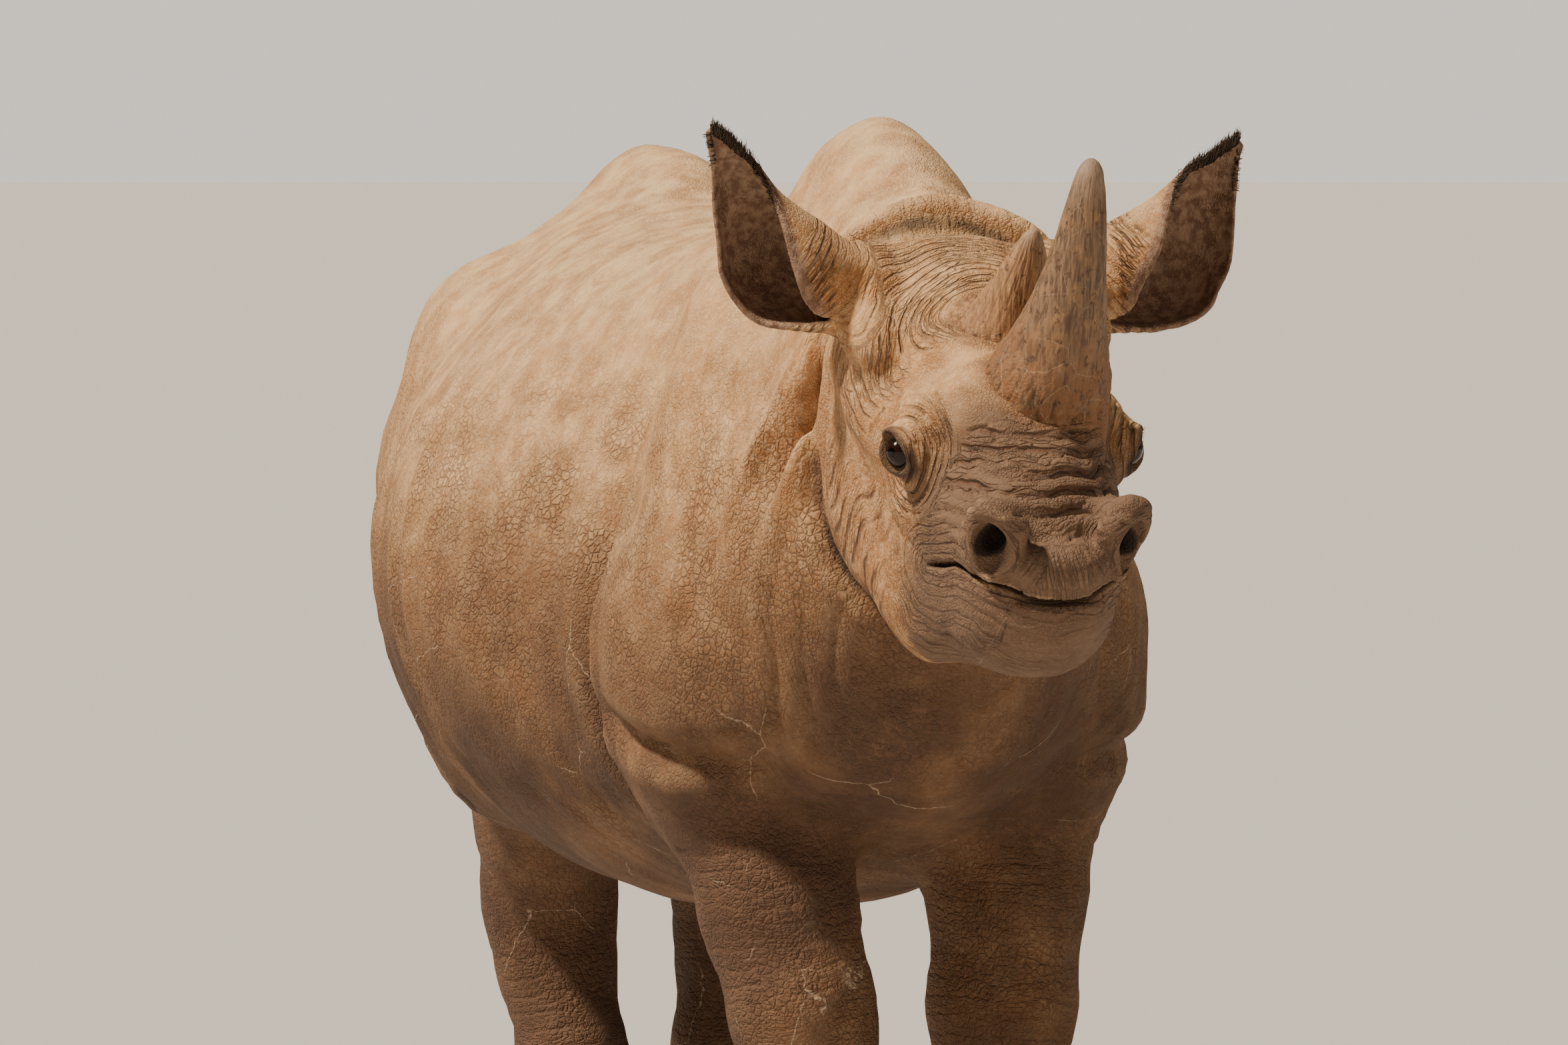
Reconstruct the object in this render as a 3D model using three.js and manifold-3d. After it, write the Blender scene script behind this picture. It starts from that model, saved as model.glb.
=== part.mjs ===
// A life-size black rhinoceros, standing square on its four feet, with its head raised and turned slightly
// to its left.
// Millimetres. +X is the way the animal faces, +Y is its left and +Z is up; z = 0 is the ground.
// The flesh is one smooth field, meshed in pieces that meet at thin cuts; horns, ears, eyes, hooves and tail
// are lofts.
import * as THREE from "three";
import { mergeVertices } from "three/addons/utils/BufferGeometryUtils.js";
import Module from "manifold-3d";

const wasm = await Module();
wasm.setup();

// ---------------------------------------------------------------- driving sizes

const GAP = 0.3; // between neighbouring nodes
const AHEAD = 10; // the finished frame's middle lies this far behind the stations' zero

// Sections of trunk and neck from rump to throat:
// [x, top z, widest level z, bottom z, half-width, sharpness above, sharpness below]. 2 is an ellipse.
const TRUNK = [
  [-1440, 1325, 1090, 800, 280, 1.8, 2.1],
  [-1230, 1435, 1080, 690, 345, 1.65, 2.1],
  [-1020, 1520, 1065, 620, 388, 1.55, 2.1],
  [-840, 1520, 1040, 570, 430, 1.6, 2.1],
  [-580, 1490, 1000, 535, 476, 1.75, 2.05],
  [-300, 1468, 970, 515, 495, 1.8, 2.0],
  [-80, 1475, 950, 522, 458, 1.65, 2.1],
  [120, 1510, 920, 550, 388, 1.45, 2.2],
  [280, 1560, 900, 580, 345, 1.35, 2.2],
  [420, 1590, 930, 620, 335, 1.35, 2.2],
  [600, 1572, 980, 690, 300, 1.42, 2.2],
  [750, 1530, 1050, 765, 248, 1.65, 2.1],
  [870, 1495, 1120, 850, 190, 1.9, 2.0],
  [980, 1460, 1190, 975, 145, 2.0, 2.0],
  [1070, 1430, 1240, 1090, 122, 2.0, 2.0],
];
const RUMP_CAP = [-1270, -1462]; // where the last sections round off, and where they end
const NECK_CAP = [1040, 1150];
// How far the shoulders stand to the left of the line from rump to poll.
const SWAY = { at: 450, reach: 420, by: 22 };

// Sections of the head in its own frame: u runs down the face from the poll, v to the left, w out of the
// forehead.
const HEAD = [
  [-160, 30, -110, -270, 104, 2.2, 2.2],
  [-60, 48, -118, -335, 134, 2.4, 2.4],
  [40, 70, -122, -374, 151, 2.4, 2.7],
  [120, 74, -126, -390, 155, 2.3, 2.8],
  [200, 66, -124, -388, 151, 2.3, 2.9],
  [280, 58, -112, -368, 144, 2.3, 3.0],
  [360, 56, -98, -338, 134, 2.3, 2.9],
  [430, 52, -92, -308, 123, 2.2, 2.7],
  [500, 34, -92, -272, 111, 2.1, 2.5],
  [560, -8, -100, -236, 98, 2.1, 2.4],
  [610, -56, -116, -200, 76, 2.1, 2.2],
];
const POLL_CAP = [-60, -170];
const NOSE_CAP = [560, 640];
const HEAD_AT = [985, 0, 1409]; // the head frame's origin, under the poll
const HEAD_DOWN = 30; // degrees that the face points below level
const HEAD_TURN = 3; // degrees to the left
const THROAT_FILLET = 30; // between head and neck

// Rounded masses: [x, y of the left one or 0, z, radius x, y, z, lean in degrees, blend].
const BODY_MASSES = [
  [430, 0, 1480, 240, 85, 122, 0, 80], // hump over the shoulders
  [-950, 0, 1470, 270, 70, 88, 0, 70], // ridge of the sacrum
  [440, 178, 1110, 175, 112, 330, 12, 90], // shoulder blade
  [455, 225, 885, 180, 118, 190, 0, 80], // upper arm
  [650, 0, 890, 170, 175, 165, 0, 110], // brisket
  [-880, 268, 1275, 140, 80, 95, -20, 110], // point of the hip
  [-1030, 203, 1000, 265, 138, 310, 12, 120], // thigh
  [-1290, 145, 1110, 140, 135, 220, 0, 100], // buttock
  [-650, 270, 745, 165, 88, 116, 24, 90], // fold of the flank
  [-1400, 0, 1290, 70, 70, 62, 0, 70], // root of the tail
  [884, 0, 1404, 54, 152, 124, -16, 16], // roll of skin behind the poll
];
const HEAD_MASSES = [
  [170, 134, -80, 120, 36, 42, 4, 30], // cheekbone
  [120, 90, -240, 130, 58, 116, 0, 40], // chewing muscle
  [310, 82, -258, 130, 50, 76, -6, 36], // corner of the jaw
  [96, 140, 4, 92, 40, 46, 0, 30], // temple, below the ear
  [318, 116, 0, 50, 30, 27, 0, 24], // brow
  [348, 128, -36, 46, 30, 38, 0, 22], // round of the eye
  [352, 22, 34, 100, 90, 46, 0, 30], // boss of the front horn
  [214, 12, 36, 88, 80, 34, 0, 30], // boss of the rear horn
  [548, 76, -40, 52, 36, 50, 10, 20], // wing of the nostril
  [600, 0, -52, 42, 62, 34, 30, 22], // tip of the upper lip
  [520, 0, -176, 96, 84, 64, 10, 30], // chin and lower lip
  [24, 128, 14, 58, 50, 52, 0, 36], // root of the ear
];

// Leg chains from the body to the foot: [x, y of the left leg, z, radius]; flat is how much narrower than
// deep a leg is.
const FORELEG = {
  flat: 1.08,
  blend: 70,
  chain: [
    [400, 226, 930, 132], [398, 205, 740, 124], [436, 192, 570, 106], [452, 186, 430, 99],
    [458, 183, 290, 85], [462, 183, 140, 93], [474, 184, 40, 105],
  ],
};
const HINDLEG = {
  flat: 1.1,
  blend: 80,
  chain: [
    [-930, 200, 900, 155], [-872, 190, 740, 134], [-990, 190, 600, 114], [-1100, 192, 470, 102],
    [-1108, 192, 380, 88], [-1085, 191, 240, 84], [-1074, 191, 120, 92], [-1054, 192, 40, 102],
  ],
};
// How far each foot stands forward of, and inside, the place below its shoulder or hip.
const STANCE = { fore_left: [-40, 20], fore_right: [150, 90], hind_left: [-70, 50], hind_right: [110, 75] };

// Deep folds: a point on each, the direction across it, half-width, depth, and the radius it fades out over.
// A fold is a groove between two rolls.
const FOLDS = [
  { at: [930, 0, 1475], across: [0.96, 0, 0.28], half: 22, deep: 30, reach: 230 }, // behind the poll
  { at: [880, 0, 1290], across: [0.89, 0, -0.46], half: 22, deep: 40, reach: 340 }, // behind the jaw
  { at: [800, 0, 1150], across: [0.93, 0, -0.36], half: 22, deep: 22, reach: 400 }, // base of the neck
  { at: [660, 0, 1000], across: [0.8, 0, -0.6], half: 22, deep: 14, reach: 420 },
  { at: [262, 300, 900], across: [0.97, 0, 0.22], half: 24, deep: 34, reach: 420 }, // behind the shoulder
  { at: [480, 250, 806], across: [0.25, 0.2, 0.95], half: 22, deep: 22, reach: 250 }, // over the elbow
  { at: [-760, 380, 860], across: [0.86, 0, 0.5], half: 26, deep: 26, reach: 330 }, // in front of the thigh
];

// Ears: root and tips in the head frame, which way the cups open, how much wider each is, outwards, and how
// far its rims are turned; then sections of the rolled leaf: [share of length, middle's shift outwards,
// radius, angles in degrees from its back to its inner rim and to its outer rim].
const EAR = { root: [26, 134, 10], opens: [0.95, 0.16, 0.26], rootWall: 13, rimWall: 9 };
const EAR_TIPS = { left: [-26, 362, 196], right: [-26, 346, 214] };
const EAR_SPREAD = { left: 1.34, right: 1.1 };
const EAR_TURN = { left: 22, right: 0 };
const EAR_SECTIONS = [
  [0.0, 10, 52, 178, 170], [0.12, 30, 63, 190, 122], [0.24, 46, 73, 180, 98], [0.36, 47, 70, 168, 90],
  [0.48, 45, 60, 150, 84], [0.6, 36, 46, 124, 74], [0.72, 24, 37, 88, 62], [0.84, 9, 27, 44, 48],
  [0.93, 3, 17, 36, 38], [1.0, 0, 6, 30, 30],
];
const EAR_CUT = 0.13; // share of the ear's length where it leaves the head
// The dark fringe along the inner rim: locks from this share of the ear's length to that one, and their size.
const FRINGE = { locks: 8, from: 0.62, to: 0.985, long: 24, wide: 13, thick: 3.5, sunk: 8 };

// Horns in the head frame: foot, then rings up to the tip, each
// [height, shift down the face, shift left, half-length, half-width].
const FRONT_HORN = {
  u: 358,
  v: 28,
  w: 66,
  rings: [
    [0, 0, 0, 80, 78], [22, 0, 1, 80, 76], [50, 0, 4, 72, 67], [84, -2, 8, 61, 57], [124, -8, 13, 50, 47],
    [167, -18, 18, 41, 38], [210, -31, 23, 33, 31], [250, -45, 27, 25, 24], [277, -55, 29, 19, 18],
    [293, -62, 31, 12, 12], [300, -65, 32, 5, 5],
  ],
};
const REAR_HORN = {
  u: 212,
  v: 13,
  w: 52,
  rings: [
    [0, 0, 0, 66, 70], [20, 1, 0, 57, 61], [52, 1, 3, 44, 46], [88, 0, 7, 31, 34], [122, -3, 12, 20, 22],
    [145, -5, 14, 12, 12], [156, -6, 15, 5, 5],
  ],
};
const HORN_SUNK = 14; // how deep a horn's flat foot lies in its boss

const EYE = {
  at: [350, 145, -34],
  radius: 24,
  faces: [0.5, 0.82, 0.24],
  lids: { out: 13, radius: 26, tube: 8.5, slant: 0.82 },
};
const NOSTRIL = {
  at: [584, 89, -26],
  faces: [0.82, 0.56, 0.08],
  radii: [30, 19, 34],
  rim: { radius: 33, tube: 11, narrow: 0.66 },
};
// The mouth's line on the left, from its corner to the tip of the lip.
const MOUTH = {
  deep: 30,
  open: 9,
  line: [
    [436, 126, -150], [468, 117, -130], [506, 108, -104], [548, 95, -90], [584, 70, -84], [606, 36, -88],
    [614, 0, -93],
  ],
};
// Hooves on each foot: [turn from straight ahead, width, height], standing on a foot of this radius.
const HOOVES = { foot: 92, thick: 26, toes: [[-65, 34, 50], [0, 44, 60], [65, 34, 50]] };

// Tail: the line of its spine, each point [x, y, z, radius], and its brush.
const TAIL = [
  [-1380, 0, 1292, 56], [-1440, 0, 1262, 52], [-1484, 0, 1190, 42], [-1504, -6, 1090, 35],
  [-1510, -12, 960, 29], [-1506, -20, 830, 25], [-1496, -26, 720, 20], [-1490, -30, 655, 13],
];
const BRUSH = { locks: 7, long: 150, wide: 17, thick: 7 };

// ---------------------------------------------------------------- the flesh as a field, negative inside

const SIDES = [["left", 1], ["right", -1]];
const radians = (degrees) => (degrees * Math.PI) / 180;
const clamp = (x, low, high) => Math.min(Math.max(x, low), high);
const mix = (a, b, t) => a + (b - a) * t;

// The smaller of a and b, with the join filled by a fillet about k wide.
function blend(a, b, k) {
  const h = Math.max(k - Math.abs(a - b), 0) / k;
  return Math.min(a, b) - (h * h * k) / 4;
}

// A cubic through rows of numbers: row 0 of each station is where it is, and the rest is what it holds there.
function along(stations) {
  const slopes = stations.map((here, i) => {
    const before = stations[Math.max(i - 1, 0)];
    const after = stations[Math.min(i + 1, stations.length - 1)];
    return here.map((_, j) => (after[j] - before[j]) / (after[0] - before[0]));
  });
  return (x) => {
    let i = 0;
    while (i < stations.length - 2 && x > stations[i + 1][0]) i++;
    const [a, b] = [stations[i], stations[i + 1]];
    const span = b[0] - a[0];
    const t = clamp((x - a[0]) / span, 0, 1);
    const [t2, t3] = [t * t, t * t * t];
    return a.map(
      (_, j) =>
        (2 * t3 - 3 * t2 + 1) * a[j] + (t3 - 2 * t2 + t) * span * slopes[i][j] +
        (3 * t2 - 2 * t3) * b[j] + (t3 - t2) * span * slopes[i + 1][j],
    );
  };
}

// How much of its section is left at x, from 1 at cap[0] to 0 at cap[1], as on a round end.
function roundOff(x, cap) {
  const t = clamp((x - cap[0]) / (cap[1] - cap[0]), 0, 1);
  return Math.pow(1 - Math.pow(t, 2.3), 1 / 2.3);
}

// Distance, to first order, from an oval section that is up high above its widest level and down deep below.
function oval(y, z, wide, up, down, sharpUp, sharpDown) {
  const high = z > 0 ? up : down;
  const n = z > 0 ? sharpUp : sharpDown;
  const [a, b] = [Math.abs(y) / wide, Math.abs(z) / high];
  const q = Math.max(Math.pow(Math.pow(a, n) + Math.pow(b, n), 1 / n), 1e-3);
  const slope = Math.hypot(Math.pow(a, n - 1) / wide, Math.pow(b, n - 1) / high) * Math.pow(q, 1 - n);
  return (q - 1) / Math.max(slope, 1e-4);
}

// A body of ovals strung along an axis, rounded off at both ends.
function strung(sections, frontCap, backCap) {
  const at = along(sections);
  return (x, y, z) => {
    const inside = clamp(x, Math.min(frontCap[1], backCap[1]), Math.max(frontCap[1], backCap[1]));
    const [, top, level, bottom, wide, sharpUp, sharpDown] = at(inside);
    const size = Math.max(roundOff(inside, frontCap) * roundOff(inside, backCap), 0.02);
    const [up, down] = [(top - level) * size, (level - bottom) * size];
    const d = oval(y, z - level, wide * size, up, down, sharpUp, sharpDown);
    const past = Math.abs(x - inside);
    return past > 0 ? Math.hypot(Math.max(d, 0), past) : d;
  };
}

function ellipsoid(x, y, z, rx, ry, rz, lean) {
  const [c, s] = [Math.cos(radians(lean)), Math.sin(radians(lean))];
  const [px, pz] = [x * c + z * s, z * c - x * s];
  const k0 = Math.hypot(px / rx, y / ry, pz / rz);
  const k1 = Math.hypot(px / (rx * rx), y / (ry * ry), pz / (rz * rz));
  return k1 < 1e-9 ? -Math.min(rx, ry, rz) : (k0 * (k0 - 1)) / k1;
}

// Adds rounded masses to a distance, each on both sides where it stands off the midline.
function withMasses(distance, masses, x, y, z) {
  let d = distance;
  for (const [mx, my, mz, rx, ry, rz, lean, k] of masses) {
    const side = my > 0 ? Math.abs(y) - my : y;
    d = blend(d, ellipsoid(x - mx, side, z - mz, rx, ry, rz, lean), k);
  }
  return d;
}

// A leg's joints on its own side, with the lower ones moved to where its foot stands.
function stood({ chain }, [forward, inward], sign) {
  return chain.map(([x, y, z, radius]) => {
    const share = clamp((900 - z) / 700, 0, 1);
    return [x + forward * share, sign * (y - inward * share), z, radius];
  });
}

// A limb of tapered lengths between its joints, flatter across than along.
function limb(joints, flat, x, y, z) {
  let d = Infinity;
  for (let i = 1; i < joints.length; i++) {
    const [a, b] = [joints[i - 1], joints[i]];
    const [dx, dy, dz] = [b[0] - a[0], b[1] - a[1], b[2] - a[2]];
    const [px, py, pz] = [x - a[0], y - a[1], z - a[2]];
    const t = clamp((px * dx + py * dy + pz * dz) / (dx * dx + dy * dy + dz * dz), 0, 1);
    const length = Math.hypot(px - t * dx, (py - t * dy) * flat, pz - t * dz) - mix(a[3], b[3], t);
    d = i === 1 ? length : blend(d, length, 40);
  }
  return d;
}

// How far the folds push the surface in (positive) or out at a point.
function folded(x, y, z) {
  let push = 0;
  for (const { at, across, half, deep, reach } of FOLDS) {
    const side = at[1] > 0 ? Math.abs(y) - at[1] : y;
    const [px, pz] = [x - at[0], z - at[2]];
    const t = (px * across[0] + side * across[1] + pz * across[2]) / half;
    if (Math.abs(t) > 5) continue;
    const far = (px * px + side * side + pz * pz) / (reach * reach);
    if (far > 1) continue;
    const fade = (1 - far) * (1 - far);
    push += deep * fade * (Math.exp(-t * t) - 0.45 * Math.exp(-((Math.abs(t) - 2.2) ** 2) / 1.6));
  }
  return push;
}

const headFrame = new THREE.Matrix4()
  .makeRotationFromEuler(new THREE.Euler(0, radians(HEAD_DOWN), radians(HEAD_TURN), "ZYX"))
  .setPosition(...HEAD_AT);
const toHead = headFrame.clone().invert();
const trunk = strung(TRUNK, NECK_CAP, RUMP_CAP);
const skull = strung(HEAD, NOSE_CAP, POLL_CAP);
const point = new THREE.Vector3();

function headField(u, v, w) {
  return withMasses(skull(u, v, w), HEAD_MASSES, u, v, w);
}

const LEGS = Object.entries(STANCE).map(([name, foot]) => {
  const form = name.startsWith("fore") ? FORELEG : HINDLEG;
  return { name, form, joints: stood(form, foot, name.endsWith("left") ? 1 : -1) };
});

function sway(x) {
  return SWAY.by * Math.exp(-(((x - SWAY.at) / SWAY.reach) ** 2));
}

// Trunk, neck, tail root and legs; with a name, only the leg of that name.
function bodyField(x, y, z, only) {
  const side = y - sway(x);
  let d = withMasses(trunk(x, side, z), BODY_MASSES, x, side, z);
  for (const { name, form, joints } of LEGS)
    if (!only || only === name) d = blend(d, limb(joints, form.flat, x, side, z), form.blend);
  return d;
}

function flesh(x, y, z) {
  point.set(x, y, z).applyMatrix4(toHead);
  return blend(bodyField(x, y, z), headField(point.x, point.y, point.z), THROAT_FILLET) + folded(x, y, z);
}

function legFlesh(name) {
  return (x, y, z) => bodyField(x, y, z, name) + folded(x, y, z);
}

function fleshInHead(u, v, w) {
  const head = headField(u, v, w);
  point.set(u, v, w).applyMatrix4(headFrame);
  return blend(bodyField(point.x, point.y, point.z), head, THROAT_FILLET) + folded(point.x, point.y, point.z);
}

// ---------------------------------------------------------------- solids from the field

// Closed mesh of the field inside a box: a vertex in each lattice cell that the surface crosses, pulled onto
// the surface.
function meshOf(field, low, high, cell, give) {
  const count = low.map((l, i) => Math.ceil((high[i] - l) / cell) + 3);
  const [nx, ny, nz] = count;
  const origin = low.map((l) => l - cell);
  const boxed = (p) =>
    Math.max(field(p[0], p[1], p[2]), ...p.map((c, i) => Math.max(low[i] - c, c - high[i])));
  const where = (i, j, k) => [origin[0] + i * cell, origin[1] + j * cell, origin[2] + k * cell];
  const id = (i, j, k) => (i * ny + j) * nz + k;
  const value = new Float64Array(nx * ny * nz);
  for (let i = 0; i < nx; i++)
    for (let j = 0; j < ny; j++) for (let k = 0; k < nz; k++) value[id(i, j, k)] = boxed(where(i, j, k));

  const corners = [...Array(8).keys()].map((c) => [c & 1, (c >> 1) & 1, (c >> 2) & 1]);
  const stepsApart = (a, b) => a.reduce((sum, c, n) => sum + Math.abs(c - b[n]), 0);
  const edges = corners.flatMap((a, i) =>
    corners.map((b, j) => [i, j]).filter(([, j]) => j > i && stepsApart(a, corners[j]) === 1),
  );
  const vertexOf = new Map();
  const positions = [];
  for (let i = 0; i < nx - 1; i++)
    for (let j = 0; j < ny - 1; j++)
      for (let k = 0; k < nz - 1; k++) {
        const at = corners.map(([a, b, c]) => value[id(i + a, j + b, k + c)]);
        if (at.every((v) => v < 0) || at.every((v) => v >= 0)) continue;
        const sum = [0, 0, 0];
        let crossings = 0;
        for (const [a, b] of edges) {
          if (at[a] < 0 === at[b] < 0) continue;
          const t = at[a] / (at[a] - at[b]);
          for (let n = 0; n < 3; n++) sum[n] += mix(corners[a][n], corners[b][n], t);
          crossings++;
        }
        const base = where(i, j, k);
        const p = base.map((c, n) => c + (sum[n] / crossings) * cell);
        vertexOf.set(id(i, j, k), positions.length / 3);
        positions.push(...pulled(boxed, p, cell));
      }

  const triangles = [];
  const quad = (a, b, c, d, flip) => {
    const [p, q, r, s] = (flip ? [d, c, b, a] : [a, b, c, d]).map((n) => vertexOf.get(n));
    triangles.push(p, q, r, p, r, s);
  };
  for (let i = 1; i < nx - 1; i++)
    for (let j = 1; j < ny - 1; j++)
      for (let k = 1; k < nz - 1; k++) {
        const here = value[id(i, j, k)] < 0;
        if (here !== value[id(i + 1, j, k)] < 0)
          quad(id(i, j - 1, k - 1), id(i, j, k - 1), id(i, j, k), id(i, j - 1, k), !here);
        if (here !== value[id(i, j + 1, k)] < 0)
          quad(id(i - 1, j, k - 1), id(i - 1, j, k), id(i, j, k), id(i, j, k - 1), !here);
        if (here !== value[id(i, j, k + 1)] < 0)
          quad(id(i - 1, j - 1, k), id(i, j - 1, k), id(i, j, k), id(i - 1, j, k), !here);
      }
  return solid(new Float32Array(positions), new Uint32Array(triangles)).simplify(give);
}

// A point moved up to 0.4 of a cell along the field's gradient, onto the surface.
function pulled(field, p, cell) {
  const h = cell * 0.05;
  let at = [...p];
  for (let turn = 0; turn < 2; turn++) {
    const d = field(at);
    const slope = at.map((_, n) => {
      const [a, b] = [[...at], [...at]];
      a[n] += h;
      b[n] -= h;
      return (field(a) - field(b)) / (2 * h);
    });
    const steep = slope.reduce((s, g) => s + g * g, 0);
    if (steep < 1e-6) break;
    const step = clamp(d / steep, -0.4 * cell, 0.4 * cell);
    at = at.map((c, n) => clamp(c - step * slope[n], p[n] - 0.4 * cell, p[n] + 0.4 * cell));
  }
  return at;
}

function solid(vertProperties, triVerts) {
  const made = new wasm.Manifold(new wasm.Mesh({ numProp: 3, vertProperties, triVerts }));
  return biggest(made);
}

// The largest closed surface of a solid: it drops loose scraps.
function biggest(made) {
  return made.decompose().reduce((a, b) => (b.volume() > a.volume() ? b : a));
}

// A three.js geometry, placed by a matrix, as a solid.
function solidOf(geometry, matrix = new THREE.Matrix4()) {
  const bare = new THREE.BufferGeometry().setAttribute("position", geometry.getAttribute("position").clone());
  if (geometry.index) bare.setIndex(geometry.index.clone());
  const merged = mergeVertices(bare.applyMatrix4(matrix), 1e-3);
  return solid(merged.attributes.position.array, new Uint32Array(merged.index.array));
}

function geometryOf(made) {
  const { vertProperties, triVerts } = biggest(made.simplify(0.02)).getMesh();
  const geometry = new THREE.BufferGeometry()
    .setAttribute("position", new THREE.BufferAttribute(new Float32Array(vertProperties), 3))
    .setIndex(new THREE.BufferAttribute(new Uint32Array(triVerts), 1));
  geometry.computeVertexNormals();
  return geometry;
}

// Rings of the same even number of points, skinned; each end is closed by strips between its first and second
// half, and the diagonals of the two halves lie alike, so that the two faces of a thin wall stay apart.
function loft(rings) {
  const n = rings[0].length;
  const last = (rings.length - 1) * n;
  const triangles = [];
  for (let r = 0; r + 1 < rings.length; r++)
    for (let i = 0; i < n; i++) {
      const [a, b] = [r * n + i, r * n + ((i + 1) % n)];
      if (i < n / 2) triangles.push(a, b, b + n, a, b + n, a + n);
      else triangles.push(a, b, a + n, b, b + n, a + n);
    }
  for (let i = 0; i + 1 < n / 2; i++) {
    const [a, b, c, d] = [i, i + 1, n - 2 - i, n - 1 - i];
    triangles.push(b, a, c, c, a, d, last + a, last + b, last + c, last + a, last + c, last + d);
  }
  const geometry = new THREE.BufferGeometry();
  geometry.setAttribute("position", new THREE.Float32BufferAttribute(rings.flat(2), 3));
  return geometry.setIndex(triangles);
}

// ---------------------------------------------------------------- horns, ears, eyes, face

// A horn's rings, stood on its flat foot; more is added to every radius and let down under the foot.
function hornShape({ u, v, w, rings }, more = 0, around = 18) {
  return loft(
    rings.map(([height, back, left, long, wide], i) =>
      [...Array(around).keys()].map((n) => {
        const angle = (2 * Math.PI * n) / around;
        const lowered = i === 0 ? HORN_SUNK + more : HORN_SUNK;
        const [along, across] = [(long + more) * Math.cos(angle), (wide + more) * Math.sin(angle)];
        return [u + back + along, v + left + across, w + height - lowered];
      }),
    ),
  );
}

// The ear's frame on one side: a runs from root to tip, o towards the opening, s outwards.
function earFrame(side) {
  const sign = side === "left" ? 1 : -1;
  const mirrored = ([u, v, w]) => new THREE.Vector3(u, sign * v, w);
  const [root, tip] = [mirrored(EAR.root), mirrored(EAR_TIPS[side])];
  const a = tip.clone().sub(root);
  const length = a.length();
  a.normalize();
  const o = mirrored(EAR.opens);
  o.addScaledVector(a, -o.dot(a)).normalize();
  return { root, length, a, o, s: new THREE.Vector3().crossVectors(a, o).multiplyScalar(sign), sign };
}

// A point of the rolled leaf: turn runs from -1 at the inner rim to 1 at the outer rim, and deep is how far
// in it lies.
function leafPoint(side, share, turn, deep) {
  const { root, length, a, o, s } = earFrame(side);
  const [, shift, plain, inner, outer] = along(EAR_SECTIONS)(share);
  const radius = plain * mix(1, EAR_SPREAD[side], clamp(share * 4 - 1, 0, 1));
  const wall = Math.min(mix(EAR.rootWall, EAR.rimWall, share), radius * 0.6);
  const turned = EAR_TURN[side] * clamp(share * 5 - 0.5, 0, 1);
  const [angle, reach] = [radians(turn < 0 ? inner - turned : outer + turned) * turn, radius - wall * deep];
  const p = root.clone().addScaledVector(a, share * length);
  const outwards = shift + 0.8 * (radius - plain); // what widens the leaf lies mostly on its outer side
  p.addScaledVector(s, outwards + reach * Math.sin(angle));
  return p.addScaledVector(o, radius * 0.3 - reach * Math.cos(angle));
}

// The ear as a rolled leaf: at each share of its length an arc of wall, open towards the front.
function earShape(side, around = 12, rows = 12) {
  const { length, sign } = earFrame(side);
  const turns = [...Array(around + 1).keys()].map((n) => sign * (1 - (2 * n) / around));
  return loft(
    [...Array(rows + 1).keys()].map((row) => {
      const share = mix(EAR_CUT + GAP / length, 1, row / rows);
      const outer = turns.map((turn) => leafPoint(side, share, turn, 0).toArray());
      return [...outer, ...turns.toReversed().map((turn) => leafPoint(side, share, turn, 1).toArray())];
    }),
  );
}

// The ear with its fringe: each lock starts inside the wall and stands off the inner rim, leaning to the tip.
function ear(side) {
  const { a } = earFrame(side);
  const { locks, from, to, long, wide, thick, sunk } = FRINGE;
  let made = solidOf(earShape(side));
  for (let n = 0; n < locks; n++) {
    const share = mix(from, to, n / (locks - 1));
    const rim = leafPoint(side, share, -1, 0.5);
    const off = rim.clone().sub(leafPoint(side, share, -0.7, 0.5)).normalize();
    off.addScaledVector(a, 0.9).normalize();
    const tip = rim.clone().addScaledVector(off, long * (1 - 0.14 * (n % 3)));
    made = made.add(lock(rim.addScaledVector(off, -sunk), tip, wide, thick));
  }
  return biggest(made);
}

function boxAt(size, matrix) {
  return solidOf(new THREE.BoxGeometry(...size), matrix);
}

// Everything beyond the cut across an ear's root, as a box.
function earCutter(side) {
  const { root, length, a, o } = earFrame(side);
  const turned = new THREE.Matrix4().makeBasis(a, o, new THREE.Vector3().crossVectors(a, o));
  return boxAt([260, 300, 300], turned.setPosition(root.addScaledVector(a, EAR_CUT * length + 130)));
}

// A frame standing on a point of the face, with z the way it faces and x along the face; mirrored by sign.
function facing({ at: [u, v, w], faces: [fu, fv, fw] }, sign, out = 0) {
  const z = new THREE.Vector3(fu, sign * fv, fw).normalize();
  const x = new THREE.Vector3(1, 0, 0).addScaledVector(z, -z.x).normalize();
  const placed = new THREE.Matrix4().makeBasis(x, new THREE.Vector3().crossVectors(z, x), z);
  return placed.setPosition(new THREE.Vector3(u, sign * v, w).addScaledVector(z, out));
}

function eyeball(sign, more = 0) {
  return solidOf(new THREE.SphereGeometry(EYE.radius + more, 16, 10), facing(EYE, sign));
}

function eyelids(sign) {
  const { out, radius, tube, slant } = EYE.lids;
  const ring = new THREE.TorusGeometry(radius, tube, 8, 20).scale(1, slant, 1.3);
  return solidOf(ring, facing(EYE, sign, out));
}

function nostrilRim(sign) {
  const { radius, tube, narrow } = NOSTRIL.rim;
  const ring = new THREE.TorusGeometry(radius, tube, 7, 18).scale(narrow, 1, 1.2);
  return solidOf(ring, facing(NOSTRIL, sign, -2));
}

function nostrilHollow(sign) {
  const [wide, deep, high] = NOSTRIL.radii;
  const ball = new THREE.SphereGeometry(1, 14, 9).scale(wide * 0.62, high * 0.72, deep * 1.5);
  return solidOf(ball, facing(NOSTRIL, sign));
}

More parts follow.
